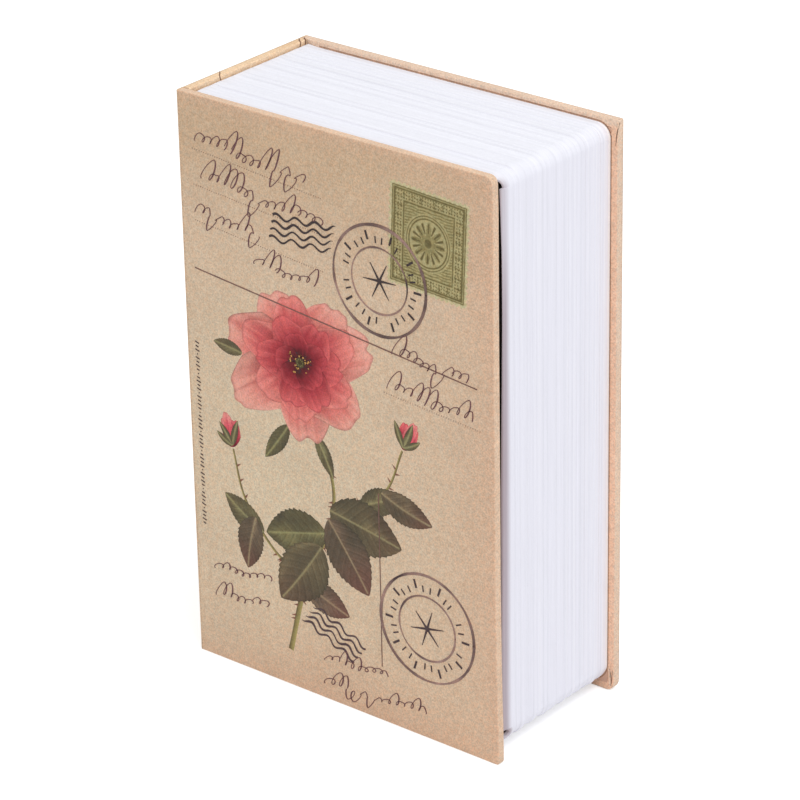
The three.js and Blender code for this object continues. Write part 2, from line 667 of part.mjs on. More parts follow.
// The nut's flats face the fore edge, so that it stays clear of the box's flange
function lockNut(lock) {
  const y = [LID_BACK + SEAT_GAP, LID_BACK + SEAT_GAP + NUT_HEIGHT];
  const sides = 6;
  const cornerRadius = NUT_ACROSS_FLATS / 2 / Math.cos(Math.PI / sides);
  const hexagon = new THREE.CylinderGeometry(cornerRadius, cornerRadius, NUT_HEIGHT, sides);
  hexagon.translate(0, (y[0] + y[1]) / 2, 0);
  const hole = rodY(LOCK_BARREL_RADIUS + LOCK_HOLE_GAP, grown(y, OVERRUN), 0, 0, ROUND_STEPS);
  place('lock_nut', cut(hexagon, [hole]), zincSteel, lock);
}

function camLock() {
  const lock = new THREE.Group();
  lock.position.set(LOCK.x, 0, LOCK.z);
  model.add(lock);
  lockHousing(lock);
  lockNut(lock);
  lockPlug(lock, wafers(lock));
  lockCam(lock);
  camFastening(lock);
}

// An angle on the pan's fore wall; its inner leg lies just in front of the cam's path
function lockKeeper() {
  const wallX = PAN.x[1] - PAN_SHEET - SEAT_GAP;
  const back = CAM_FRONT - SEAT_GAP;
  const z = grown([LOCK.z, LOCK.z], KEEPER_LENGTH / 2);
  place('lock_keeper', join(
    block([wallX - KEEPER_SHEET, wallX], [back - KEEPER_DEPTH, back], z),
    block([wallX - KEEPER_REACH, wallX], [back - KEEPER_SHEET, back], z),
  ), zincSteel);
}

frontCover();
spine();
backCover();
pageBlock();
boxPan();
boxLid();
hinge('lower', hingePlaces[0]);
hinge('upper', hingePlaces[1]);
camLock();
lockKeeper();

export default model;
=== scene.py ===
"""Looks of a book diversion safe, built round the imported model.

Lengths are in millimetres in the model's frame: X runs from the spine to the fore edge, Y from the
front cover to the back cover, Z up. They are turned to metres where a mesh, lamp or camera is made.
"""

import json
import logging
import math
from dataclasses import dataclass, field, replace
from enum import Enum
from typing import Any, Sequence

import bmesh
import bpy
import numpy as np
from mathutils import Matrix, Vector

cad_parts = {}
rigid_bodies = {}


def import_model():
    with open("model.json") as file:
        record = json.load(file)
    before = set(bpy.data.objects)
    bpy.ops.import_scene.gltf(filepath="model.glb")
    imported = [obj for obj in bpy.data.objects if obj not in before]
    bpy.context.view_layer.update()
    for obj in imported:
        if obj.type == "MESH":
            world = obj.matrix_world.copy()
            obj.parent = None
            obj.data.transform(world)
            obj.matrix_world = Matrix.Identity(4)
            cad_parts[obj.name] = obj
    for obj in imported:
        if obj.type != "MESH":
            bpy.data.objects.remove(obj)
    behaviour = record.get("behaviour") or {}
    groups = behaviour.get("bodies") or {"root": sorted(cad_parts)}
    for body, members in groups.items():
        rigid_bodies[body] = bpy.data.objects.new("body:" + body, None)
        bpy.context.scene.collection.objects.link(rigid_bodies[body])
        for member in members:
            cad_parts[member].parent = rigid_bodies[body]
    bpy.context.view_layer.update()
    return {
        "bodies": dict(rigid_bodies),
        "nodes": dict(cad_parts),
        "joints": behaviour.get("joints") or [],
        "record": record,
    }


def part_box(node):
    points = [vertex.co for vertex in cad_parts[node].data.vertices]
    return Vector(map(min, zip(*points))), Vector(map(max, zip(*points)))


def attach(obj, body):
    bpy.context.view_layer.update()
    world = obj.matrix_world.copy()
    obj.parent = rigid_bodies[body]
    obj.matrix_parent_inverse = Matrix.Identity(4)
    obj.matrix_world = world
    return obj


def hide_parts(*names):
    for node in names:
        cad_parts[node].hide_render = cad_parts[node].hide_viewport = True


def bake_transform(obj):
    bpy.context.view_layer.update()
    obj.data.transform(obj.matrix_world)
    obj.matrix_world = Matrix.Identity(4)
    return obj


LOG = logging.getLogger("book_safe")

MM = 0.001
WELD = 0.0008 * MM
SAME_PLACE = 1e-6
QUARTER_TURN = math.pi / 2
FULL_TURN = 2 * math.pi
WHITE = (1, 1, 1)
NOISE_SPAN = (0.3, 0.7)
PRINT = "print"
PAGES = "pages"
PRINT_ROOM = 0.12
BOARD_GAP = 0.35
HEM_PLANE = 25.72
SPINE_SIDE = -56.68

Array = np.ndarray
Pair = tuple[float, float]
Triple = tuple[float, float, float]
Colour = Triple
Material = bpy.types.Material
Piece = bpy.types.Object
Socket = bpy.types.NodeSocket


class Slot(Enum):
    """The record's material slots."""

    PRINTED_PAPER = "printed_paper"
    GREY_BOARD = "grey_board"
    LINING_PAPER = "lining_paper"
    WHITE_PLASTIC = "white_plastic"
    BLACK_STEEL = "black_steel"
    ZINC_STEEL = "zinc_steel"
    CHROME = "chrome"
    BRASS = "brass"


class Body(Enum):
    """The bodies that the modelled pieces move with."""

    BOOK = "book"
    FRONT_COVER = "front_cover"


class Side(Enum):
    """The way a cover faces along Y."""

    FRONT = -1
    BACK = 1


# Shapes worked out as arrays


def smooth_step(value: Array) -> Array:
    """Rises from 0 to 1 as value does, level at both ends: 3 v squared less 2 v cubed."""
    held = np.clip(value, 0, 1)
    return held * held * (3 - 2 * held)


def lattice_noise(first: Array, second: Array, size: float, seed: int) -> Array:
    """Smooth random values on a plane: random lattice values blended by smooth steps.

    Args:
        first: One coordinate of the points.
        second: Their other coordinate.
        size: The lattice's spacing.
        seed: The random draw's seed.

    Returns:
        A value between -1 and 1 for each point.
    """
    count = 64
    table = np.random.default_rng(seed).uniform(-1, 1, (count, count))
    across = first / size + count
    along = second / size + count
    column = np.floor(across).astype(int)
    row = np.floor(along).astype(int)
    shift_across = smooth_step(across - column)
    shift_along = smooth_step(along - row)
    near = table[column % count, row % count] * (1 - shift_across)
    near = near + table[(column + 1) % count, row % count] * shift_across
    far = table[column % count, (row + 1) % count] * (1 - shift_across)
    far = far + table[(column + 1) % count, (row + 1) % count] * shift_across
    return near * (1 - shift_along) + far * shift_along


def layered_noise(first: Array, second: Array, size: float, seed: int, layers: int = 3) -> Array:
    """Adds lattice noises, each half as large and half as strong as the one before.

    Args:
        first: One coordinate of the points.
        second: Their other coordinate.
        size: The first lattice's spacing.
        seed: Its random draw's seed.
        layers: How many noises there are.

    Returns:
        A value for each point.
    """
    total = np.zeros(np.broadcast(first, second).shape)
    for layer in range(layers):
        total = total + lattice_noise(first, second, size / 2**layer, seed + layer) / 2**layer
    return total / 2


def quarter_round(radius: float, steps: int) -> tuple[Array, Array]:
    """A quarter circle from running outwards to running down: how far out and down each point lies."""
    angle = np.linspace(0, QUARTER_TURN, steps + 1)
    return radius * np.sin(angle), radius * (1 - np.cos(angle))


def ridge(distance: Array, width: float) -> Array:
    """A soft ridge: e to the power of minus the square of distance over width."""
    return np.exp(-((distance / width) ** 2))


def blended(first: Array | Colour, second: Array | Colour, share: Array) -> Array:
    """Runs from one colour to another by a share of any shape."""
    first, second = np.asarray(first), np.asarray(second)
    return first + (second - first) * np.clip(share, 0, 1)[..., None]


def placed(x: Array | float, y: Array | float, z: Array | float) -> Array:
    """Points from three coordinates whose shapes match or widen to one another."""
    return np.stack(np.broadcast_arrays(x, y, z), axis=-1)


def joined(*runs: tuple[Array | float, ...]) -> tuple[Array, ...]:
    """Lays runs of points end to end, row by row; a single number counts for its whole run."""
    full = (np.broadcast_arrays(*(np.atleast_1d(row) for row in run)) for run in runs)
    return tuple(np.concatenate(rows) for rows in zip(*full))


@dataclass
class Surface:
    """Grids of points gathered into one mesh, then welded and turned outwards."""

    attribute: str = PRINT
    points: list[Array] = field(default_factory=list)
    colours: list[Array] = field(default_factory=list)
    faces: list[Array] = field(default_factory=list)
    count: int = 0

    def add_points(self, points: Array, colours: Array | None = None) -> int:
        """Keeps points for the mesh.

        Args:
            points: The points, in any grid.
            colours: Their linear colours, if they have any.

        Returns:
            The number of the first one.
        """
        start = self.count
        flat = np.asarray(points, float).reshape(-1, 3)
        self.points.append(flat)
        if colours is not None:
            self.colours.append(np.asarray(colours, float).reshape(-1, 3))
        self.count += len(flat)
        return start

    def grid(
        self,
        points: Array,
        close_rows: bool = False,
        close_columns: bool = False,
        colours: Array | None = None,
    ) -> None:
        """Joins a grid's neighbouring points by four-sided faces.

        Args:
            points: Rows by columns by three coordinates.
            close_rows: Whether the last row joins the first one.
            close_columns: Whether the last column joins the first one.
            colours: One linear colour for each point, on every grid of a surface or on none.
        """
        rows, columns = points.shape[:2]
        index = self.add_points(points, colours) + np.arange(rows * columns).reshape(rows, columns)
        if close_rows:
            index = np.vstack([index, index[:1]])
        if close_columns:
            index = np.hstack([index, index[:, :1]])
        corners = (index[:-1, :-1], index[1:, :-1], index[1:, 1:], index[:-1, 1:])
        self.faces.append(np.stack(corners, axis=-1).reshape(-1, 4))

    def strip(self, first: Array, second: Array) -> None:
        """Joins two rows of points by one row of faces."""
        self.grid(np.stack([first, second]))

    def fan(self, rim: Array) -> None:
        """Closes a loop of points by triangles to its mean point.

        Args:
            rim: The loop's points, one row each.
        """
        start = self.add_points(np.vstack([rim, rim.mean(axis=0)]))
        around = np.arange(len(rim))
        corners = (start + around, start + (around + 1) % len(rim), np.full(len(rim), start + len(rim)))
        self.faces.append(np.stack(corners, axis=-1))

    def sheet(self, outer: Array, inner: Array, open_sides: Sequence[str] = ()) -> None:
        """Two paired grids joined along their rims into a sheet with a thickness.

        Args:
            outer: The sheet's outer side, rows by columns by three coordinates.
            inner: Its inner side, with as many points.
            open_sides: The rims left open: first_row, last_row, first_column or last_column.
        """
        self.grid(outer)
        self.grid(inner)
        rims = {
            "first_row": (outer[0], inner[0]),
            "last_row": (outer[-1], inner[-1]),
            "first_column": (outer[:, 0], inner[:, 0]),
            "last_column": (outer[:, -1], inner[:, -1]),
        }
        for name, (outer_rim, inner_rim) in rims.items():
            if name not in open_sides:
                self.strip(outer_rim, inner_rim)

    def printed_patch(self, x: Array, z: Array, colours: Array, top: float, under: float) -> None:
        """A thin closed layer of print whose outline is its grid's own rim.

        Args:
            x: The grid's X, rows by columns.
            z: The grid's Z.
            colours: Rows by columns by three.
            top: The layer's outer plane along Y.
            under: Its inner plane.
        """
        outer, inner = placed(x, top, z), placed(x, under, z)
        self.grid(outer, colours=colours)
        self.grid(inner, colours=colours)
        for row in (0, -1):
            self.grid(np.stack([outer[row], inner[row]]), colours=np.stack([colours[row]] * 2))
            self.grid(np.stack([outer[:, row], inner[:, row]]), colours=np.stack([colours[:, row]] * 2))

    def mesh(self, name: str, sharp_angle: float) -> bpy.types.Mesh:
        """Makes the mesh, merges its doubles and turns its faces outwards.

        Args:
            name: The mesh's name.
            sharp_angle: Edges that turn by more than this, in degrees, stay sharp.

        Returns:
            The finished mesh, in metres.
        """
        mesh = bpy.data.meshes.new(name)
        faces = [face for group in self.faces for face in group.tolist()]
        mesh.from_pydata((np.vstack(self.points) * MM).tolist(), [], faces)
        if self.colours:
            paint(mesh, self.attribute, np.vstack(self.colours))
        work = bmesh.new()
        work.from_mesh(mesh)
        bmesh.ops.remove_doubles(work, verts=work.verts, dist=WELD)
        bmesh.ops.recalc_face_normals(work, faces=work.faces)
        work.to_mesh(mesh)
        work.free()
        mesh.shade_smooth()
        mesh.set_sharp_from_angle(angle=math.radians(sharp_angle))
        return mesh


def vertex_places(mesh: bpy.types.Mesh) -> Array:
    """Reads a mesh's points.

    Args:
        mesh: A mesh in metres.

    Returns:
        Its points in millimetres, one row each.
    """
    flat = np.zeros(len(mesh.vertices) * 3, np.float32)
    mesh.vertices.foreach_get("co", flat)
    return flat.reshape(-1, 3).astype(float) / MM


def paint(mesh: bpy.types.Mesh, name: str, colours: Array) -> None:
    """Stores a colour for each point as a colour attribute.

    Args:
        mesh: The mesh.
        name: The attribute's name.
        colours: A linear colour for each point.
    """
    attribute = mesh.color_attributes.new(name, "FLOAT_COLOR", "POINT")
    full = np.ones((len(colours), 4), np.float32)
    full[:, :3] = colours
    attribute.data.foreach_set("color", full.ravel())


def add_object(name: str, data: Any) -> Piece:
    """Makes an object of a mesh, a lamp or a camera and links it to the scene.

    Args:
        name: The object's name.
        data: What it shows.

    Returns:
        The new object.
    """
    piece = bpy.data.objects.new(name, data)
    bpy.context.scene.collection.objects.link(piece)
    return piece


def make_piece(
    name: str, surface: Surface, material: Material, sharp_angle: float = 35
) -> Piece:
    """Makes a piece from a surface.

    Args:
        name: The piece's name.
        surface: Its shape.
        material: Its finish.
        sharp_angle: Edges that turn by more than this, in degrees, stay sharp.

    Returns:
        The new object.
    """
    mesh = surface.mesh(name, sharp_angle)
    mesh.materials.append(material)
    piece = add_object(name, mesh)
    LOG.info("%s: %d points, %d faces", name, len(mesh.vertices), len(mesh.polygons))
    return piece


# Finishes


class Tree:
    """The node tree of a material or the world, with short calls that add nodes."""

    def __init__(self, owner: Any) -> None:
        """Clears the owner's tree.

        Args:
            owner: The material or world.
        """
        owner.use_nodes = True
        self.tree = owner.node_tree
        self.tree.nodes.clear()

    def feed(self, target: Socket, value: Any) -> None:
        """Links an output to an input, or sets the input's own value.

        Args:
            target: The input.
            value: An output, or a value for the input.
        """
        if isinstance(value, Socket):
            self.tree.links.new(value, target)
        elif isinstance(value, tuple) and target.type == "RGBA":
            target.default_value = (*value, 1)
        else:
            target.default_value = value

    def wire(self, node: bpy.types.Node, inputs: dict[str | int, Any]) -> None:
        """Feeds a node's inputs, each given by its name or its number."""
        for key, value in inputs.items():
            self.feed(node.inputs[key], value)

    def add(self, kind: str, inputs: dict[str | int, Any] | None = None, **settings: str) -> bpy.types.Node:
        """Adds a node.

        Args:
            kind: Its kind, as the end of its type's name.
            inputs: What feeds its inputs, each named or numbered.
            settings: Its own settings, such as its operation.

        Returns:
            The new node.
        """
        node = self.tree.nodes.new("ShaderNode" + kind)
        for name, value in settings.items():
            setattr(node, name, value)
        self.wire(node, inputs or {})
        return node

    def math(self, operation: str, first: Any, second: Any) -> Socket:
        """One sum of two values."""
        return self.add("Math", {0: first, 1: second}, operation=operation).outputs[0]


class Nodes(Tree):
    """The node tree of one material with one principled shader."""

    def __init__(self, name: str) -> None:
        """Starts the material.

        Args:
            name: Its name.
        """
        self.material = bpy.data.materials.new(name)
        super().__init__(self.material)
        self.shader = self.add("BsdfPrincipled")
        self.add("OutputMaterial", {"Surface": self.shader.outputs["BSDF"]})
        self.object_place = self.add("TexCoord").outputs["Object"]

    def places(self, scale: Triple = (1, 1, 1)) -> Socket:
        """Object coordinates in millimetres, each multiplied by its own scale."""
        metres = tuple(part / MM for part in scale)
        return self.add("Mapping", {"Vector": self.object_place, "Scale": metres}).outputs["Vector"]

    def noise(
        self, size: float, detail: float = 2, stretch: Triple = (1, 1, 1), distortion: float = 0
    ) -> Socket:
        """Cloudy noise.

        Args:
            size: The distance from lump to lump, in millimetres, before the stretch.
            detail: How many finer layers it has.
            stretch: What the coordinates are multiplied by.
            distortion: How far it swirls.

        Returns:
            The noise.
        """
        inputs = {"Vector": self.places(stretch), "Scale": 1 / size}
        inputs |= {"Detail": detail, "Distortion": distortion}
        return self.add("TexNoise", inputs).outputs["Fac"]

    def cells(self, size: float) -> Socket:
        """The distance to the nearest of many scattered points, size millimetres apart."""
        return self.add("TexVoronoi", {"Vector": self.places(), "Scale": 1 / size}).outputs["Distance"]

    def attribute(self, name: str) -> Socket:
        """The piece's own colour attribute."""
        return self.add("Attribute", attribute_name=name).outputs["Color"]

    def remap(self, value: Any, source: Pair, target: Pair) -> Socket:
        """Carries a value from one range to another, held at its ends."""
        ends = {"From Min": source[0], "From Max": source[1], "To Min": target[0], "To Max": target[1]}
        return self.add("MapRange", {"Value": value, **ends}).outputs["Result"]

    def vary(self, share: float, size: float, detail: float) -> Socket:
        """Noise carried to values between a share below 1 and as much above it."""
        return self.remap(self.noise(size, detail), NOISE_SPAN, (1 - share, 1 + share))

    def mix(self, share: Any, first: Any, second: Any, blend: str = "MIX") -> Socket:
        """Blends two colours by the second one's share."""
        inputs = {0: share, 6: first, 7: second}
        return self.add("Mix", inputs, data_type="RGBA", blend_type=blend).outputs[2]

    def shade(self, colour: Any, amount: Any) -> Socket:
        """Multiplies a colour by a value."""
        return self.add("VectorMath", {0: colour, "Scale": amount}, operation="SCALE").outputs["Vector"]

    def bump(self, height: Any, depth: float, strength: float) -> None:
        """Gives the shader bumps: a height from 0 to 1 that stands for depth millimetres."""
        node = self.add("Bump", {"Height": height, "Distance": depth * MM, "Strength": strength})
        self.feed(self.shader.inputs["Normal"], node.outputs["Normal"])

    def surface(self, colour: Any, roughness: Any, metallic: float = 0, specular: float = 0.5) -> None:
        """Sets the shader's main inputs."""
        self.wire(self.shader, {"Base Color": colour, "Roughness": roughness})
        self.wire(self.shader, {"Metallic": metallic, "Specular IOR Level": specular})


@dataclass(frozen=True)
class PrintedPaper:
    """Matte printed case paper: the piece's own painted colours, with clouds, grain, specks and fibres."""

    name: str
    cloud: float = 0.035
    mottle: float = 0.06
    grain: float = 0.17
    speck: float = 0.36
    fibre_depth: float = 0.03
    warm: Colour = (1.02, 0.955, 0.9)
    cool: Colour = (0.985, 1.02, 1.045)
    speck_tone: Colour = (0.28, 0.13, 0.07)

    def material(self) -> Material:
        """Builds the material.

        Returns:
            A paper whose painted colour is mottled by noises of three sizes, shifted here and there
            to a warmer or cooler tone, dotted with a few dark specks and bumped by fine fibres.
        """
        nodes = Nodes(self.name)
        uneven = nodes.math("MULTIPLY", nodes.vary(self.cloud, 17, 3), nodes.vary(self.mottle, 1.9, 3))
        uneven = nodes.math("MULTIPLY", uneven, nodes.vary(self.grain, 0.5, 2))
        shift = nodes.mix(nodes.remap(nodes.noise(0.8, 3), (0.36, 0.64), (0, 1)), self.warm, self.cool)
        colour = nodes.mix(1.0, nodes.shade(nodes.attribute(PRINT), uneven), shift, "MULTIPLY")
        dots = nodes.remap(nodes.cells(2.3), (0.05, 0.13), (1, 0))
        scarce = nodes.remap(nodes.noise(3.1, 1), (0.54, 0.6), (0, self.speck))
        colour = nodes.mix(nodes.math("MULTIPLY", dots, scarce), colour, self.speck_tone)
        nodes.surface(colour, nodes.remap(nodes.noise(1.4), NOISE_SPAN, (0.62, 0.78)), specular=0.28)
        nodes.bump(nodes.noise(0.28, 4, (1, 1, 0.6), 0.4), self.fibre_depth, 0.5)
        return nodes.material


@dataclass(frozen=True)
class PlainPaper:
    """Uncoated lining paper: one tone with faint clouds and fibres."""

    name: str
    tone: Colour
    cloud: float = 0.04
    fibre_depth: float = 0.02

    def material(self) -> Material:
        """Builds the material."""
        nodes = Nodes(self.name)
        flecks = nodes.remap(nodes.noise(0.5, 3, (1, 1, 0.4)), (0.35, 0.65), (1 - self.cloud, 1))
        light = nodes.math("MULTIPLY", nodes.vary(self.cloud, 6, 4), flecks)
        rough = nodes.remap(nodes.noise(1.2), NOISE_SPAN, (0.72, 0.86))
        nodes.surface(nodes.shade(self.tone, light), rough, specular=0.25)
        nodes.bump(nodes.noise(0.22, 4, (1, 1, 0.5), 0.5), self.fibre_depth, 0.5)
        return nodes.material


@dataclass(frozen=True)
class RawBoard:
    """Grey board of pressed waste paper, with layers that show along its cut edges."""

    name: str
    tone: Colour
    fleck: Colour

    def material(self) -> Material:
        """Builds the material."""
        nodes = Nodes(self.name)
        layers = nodes.noise(0.35, 2, (0.05, 1, 0.05))
        flecks = nodes.remap(nodes.noise(0.6, 3), (0.58, 0.66), (0, 0.6))
        colour = nodes.mix(flecks, self.tone, self.fleck)
        colour = nodes.shade(colour, nodes.remap(layers, (0.35, 0.65), (0.86, 1.08)))
        nodes.surface(colour, 0.92, specular=0.2)
        nodes.bump(nodes.noise(0.25, 5), 0.06, 0.6)
        return nodes.material


@dataclass(frozen=True)
class MouldedPlastic:
    """White satin plastic: the moulding's painted page tones, which hold painted shade and light,
    with fine page lines over them.
    """

    name: str
    line_pitch: float = 0.34
    line_share: float = 0.028

    def material(self) -> Material:
        """Builds the material.

        Returns:
            A plastic with faint lines in planes of equal Y, which stand for the edges of pages, a
            satin gloss that varies a little, and a fine grain.
        """
        nodes = Nodes(self.name)
        lines = nodes.noise(self.line_pitch, 2, (0.02, 1, 0.02))
        light = nodes.remap(lines, NOISE_SPAN, (1 - self.line_share, 1 + self.line_share))
        colour = nodes.shade(nodes.attribute(PAGES), light)
        nodes.surface(colour, nodes.remap(nodes.noise(2.2, 3), NOISE_SPAN, (0.42, 0.52)), specular=0.4)
        rough = nodes.math("MULTIPLY", nodes.noise(0.5, 4), 0.2)
        nodes.bump(nodes.math("ADD", nodes.math("MULTIPLY", lines, 0.8), rough), 0.06, 0.5)
        return nodes.material


@dataclass(frozen=True)
class PowderCoat:
    """Black powder coat with a fine orange-peel skin and a dusty, slightly rubbed tone."""

    name: str
    tone: Colour
    worn: Colour

    def material(self) -> Material:
        """Builds the material."""
        nodes = Nodes(self.name)
        rubbed = nodes.remap(nodes.noise(9, 5), (0.52, 0.7), (0, 0.6))
        rough = nodes.remap(nodes.noise(5, 3), NOISE_SPAN, (0.4, 0.58))
        nodes.surface(nodes.mix(rubbed, self.tone, self.worn), rough)
        nodes.bump(nodes.noise(0.55, 2), 0.05, 0.5)
        return nodes.material


@dataclass(frozen=True)
class PlatedSteel:
    """Zinc-plated steel: a dull bright metal with rolling marks, small spangles and thin scratches."""

    name: str
    tone: Colour
    dull: Colour
    roughness: Pair
    rolled_along: Triple = (1, 1, 0.05)

    def material(self) -> Material:
        """Builds the material."""
        nodes = Nodes(self.name)
        spangle = nodes.remap(nodes.cells(1.7), (0.1, 0.7), (0, 1))
        marks = nodes.noise(0.22, 3, self.rolled_along)
        colour = nodes.mix(nodes.math("MULTIPLY", spangle, 0.5), self.tone, self.dull)
        nodes.surface(colour, nodes.remap(marks, NOISE_SPAN, self.roughness), metallic=1)
        nodes.bump(marks, 0.02, 0.35)
        return nodes.material


@dataclass(frozen=True)
class PolishedMetal:
    """Polished plate or sheet brass, with a faint haze and fingerprints."""

    name: str
    tone: Colour
    haze: Colour
    roughness: Pair

    def material(self) -> Material:
        """Builds the material."""
        nodes = Nodes(self.name)
        smear = nodes.remap(nodes.noise(4, 5, distortion=1.2), (0.4, 0.7), (0, 1))
        colour = nodes.mix(nodes.math("MULTIPLY", smear, 0.4), self.tone, self.haze)
        nodes.surface(colour, nodes.remap(smear, (0, 1), self.roughness), metallic=1)
        nodes.bump(nodes.noise(0.3, 3, (1, 0.1, 1)), 0.008, 0.3)
        return nodes.material


# The camera, the lamps and the floor


@dataclass
class Viewpoint:
    """The photograph's camera: where it stands, which way it faces and its lens."""

    place: Triple = (632.05, -764.62, 553.79)
    right: Triple = (0.77538, 0.63126, -0.01746)
    up: Triple = (-0.25579, 0.33923, 0.90526)
    lens: float = 170.57
    sensor: float = 36
    clip: Pair = (0.05, 50)

    def build(self) -> None:
        """Makes the camera, with its axes along right, up and their cross product."""
        data = bpy.data.cameras.new("camera")
        data.lens = self.lens
        data.sensor_width = self.sensor
        data.clip_start, data.clip_end = self.clip
        camera = add_object("camera", data)
        right = Vector(self.right).normalized()
        back = right.cross(Vector(self.up)).normalized()
        turn = Matrix((right, back.cross(right), back)).transposed().to_4x4()
        camera.matrix_world = Matrix.Translation(Vector(self.place) * MM) @ turn
        bpy.context.scene.camera = camera
        LOG.info("camera at %s mm", self.place)


@dataclass
class Studio:
    """A pale floor in soft light from all round, with one broad lamp above the fore edge."""

    floor_half: float = 4000
    floor_tone: Colour = (0.86, 0.86, 0.86)
    floor_glow: float = 0.5
    sky: float = 0.64
    lamp_place: Triple = (800, -190, 1670)
    lamp_side: float = 1100
    lamp_power: float = 14
    lamp_aim: Triple = (0, 0, 80)

    def build_sky(self) -> None:
        """Lights the world evenly, and shows it white to the camera and in reflections."""
        world = bpy.data.worlds.new("studio")
        bpy.context.scene.world = world
        tree = Tree(world)
        lit = tree.add("Background", {"Color": WHITE, "Strength": self.sky})
        seen = tree.add("Background", {"Color": WHITE, "Strength": 1})
        inputs = {"Fac": self.seen_rays(tree), 1: lit.outputs[0], 2: seen.outputs[0]}
        tree.add("OutputWorld", {"Surface": tree.add("MixShader", inputs).outputs[0]})

    def seen_rays(self, tree: Tree) -> Socket:
        """Tells seen rays from lighting ones.

        Args:
            tree: The tree that needs it.

        Returns:
            A value that is 1 for camera, glossy and transmission rays and 0 for the rest.
        """
        rays = tree.add("LightPath").outputs
        direct = tree.math("MAXIMUM", rays["Is Camera Ray"], rays["Is Glossy Ray"])
        return tree.math("MAXIMUM", direct, rays["Is Transmission Ray"])

    def build_floor(self) -> None:
        """Makes a broad floor that shows white where it isn't shaded and keeps a soft shadow."""
        steps = np.linspace(-self.floor_half, self.floor_half, 9)
        across, along = np.meshgrid(steps, steps, indexing="ij")
        surface = Surface()
        surface.grid(placed(across, along, 0))
        material = bpy.data.materials.new("floor")
        tree = Tree(material)
        diffuse = tree.add("BsdfDiffuse", {"Color": self.floor_tone})
        strength = tree.math("MULTIPLY", self.seen_rays(tree), self.floor_glow)
        glow = tree.add("Emission", {"Color": WHITE, "Strength": strength})
        total = tree.add("AddShader", {0: diffuse.outputs[0], 1: glow.outputs[0]})
        tree.add("OutputMaterial", {"Surface": total.outputs[0]})
        mesh = surface.mesh("floor", 30)
        mesh.materials.append(material)
        floor = add_object("floor", mesh)

    def build_lamp(self) -> None:
        """Hangs a broad square lamp between the top and the fore edge of the book."""
        data = bpy.data.lights.new("lamp", "AREA")
        data.shape = "SQUARE"
        data.size = self.lamp_side * MM
        data.energy = self.lamp_power
        place = Vector(self.lamp_place) * MM
        aim = Vector(self.lamp_aim) * MM
        turn = (aim - place).to_track_quat("-Z", "Y").to_matrix().to_4x4()
        add_object("lamp", data).matrix_world = Matrix.Translation(place) @ turn

    def build(self) -> None:
        """Sets the picture's plain colours and makes the sky, the floor and the lamp."""
        bpy.context.scene.view_settings.view_transform = "Standard"
        self.build_sky()
        self.build_floor()
        self.build_lamp()
        LOG.info("studio: sky %.2f, lamp %.0f W", self.sky, self.lamp_power)


# The printed case


@dataclass
class CasePaper:
    """What the case's paper has everywhere: its thickness, its folds and its tones."""

    thickness: float = 0.25
    fold_radius: float = 0.35
    corner_radius: float = 0.45
    turn_in: float = 12
    hem: float = 2.34
    hem_foot: float = 0.13
    round_steps: int = 5
    side_steps: int = 7
    tone: Colour = (0.765, 0.575, 0.41)
    pale_tone: Colour = (0.785, 0.645, 0.46)
    brown_tone: Colour = (0.67, 0.482, 0.315)
    red_tone: Colour = (0.755, 0.515, 0.358)
    rim_tone: Colour = (0.79, 0.525, 0.365)
    edge_tone: Colour = (0.77, 0.56, 0.405)
    inside_tone: Colour = (0.75, 0.445, 0.315)
    # Painted light: the factor that lightens the edge tone on the inside near the top edge.
    top_light_share: float = 1.16
    # Painted shade: how much darker the paper is along its outer fold.
    fold_shade: float = 0.0

    def hem_depth(self, run: Array, full: float, lined: float) -> Array:
        """How deep the turn-in lies at each distance: full on the hem, less under the lining."""
        return full - (full - lined) * smooth_step((run - self.hem) / self.hem_foot)

    def wrap_profile(self, depth: float) -> list[tuple[Array, ...]]:
        """The sheet's section over a board's edge: flat, a quarter round, the side, a quarter round.

        Args:
            depth: The wrapped board's full depth.

        Returns:
            How far out and how deep each point of the outer side lies, then the same for the inner
            side, which keeps the paper's thickness from it.
        """
        out_arc, down_arc = quarter_round(self.fold_radius, self.round_steps)
        reach = self.corner_radius - self.fold_radius
        side = np.linspace(self.fold_radius, depth - self.fold_radius, self.side_steps)[1:-1]
        profiles = []
        for gap in (0, self.thickness):
            share = (self.fold_radius - gap) / self.fold_radius
            profiles.append(joined(
                (0, gap),
                (reach + out_arc * share, gap + down_arc * share),
                (self.corner_radius - gap, side),
                (reach + out_arc[::-1] * share, depth - gap - down_arc[::-1] * share),
                (0, depth - gap),
            ))
        return profiles


@dataclass(frozen=True)
class Corners:
    """A cover's two fore corners, worn round by handling."""

    fore: float
    height: float
    bottom_radius: float
    top_radius: float
    low: float = 0.0

    def inside(self, gap: float) -> "Corners":
        """The same corners of what lies a gap inside the cover's rim."""
        return replace(self, fore=self.fore - gap, height=self.height - gap, low=self.low + gap)

    def rounded(self, places: Array) -> Array:
        """Pulls the points near each corner in, so that its square rim becomes a quarter circle.

        Args:
            places: The points, one row each.

        Returns:
            The moved points. Round a corner's centre, each is drawn in by its distance along the
            farther axis over its full distance.
        """
        moved = places.copy()
        for radius, corner, way in ((self.bottom_radius, self.low, -1), (self.top_radius, self.height, 1)):
            out_x = np.maximum(moved[:, 0] - (self.fore - radius), 0)
            out_z = np.maximum(way * (moved[:, 2] - corner) + radius, 0)
            full = np.hypot(out_x, out_z)
            farther = np.maximum(out_x, out_z)
            share = np.where((out_x > 0) & (out_z > 0), farther / np.maximum(full, 1e-9), 1)
            moved[:, 0] -= out_x * (1 - share)
            moved[:, 2] -= way * out_z * (1 - share)
        return moved


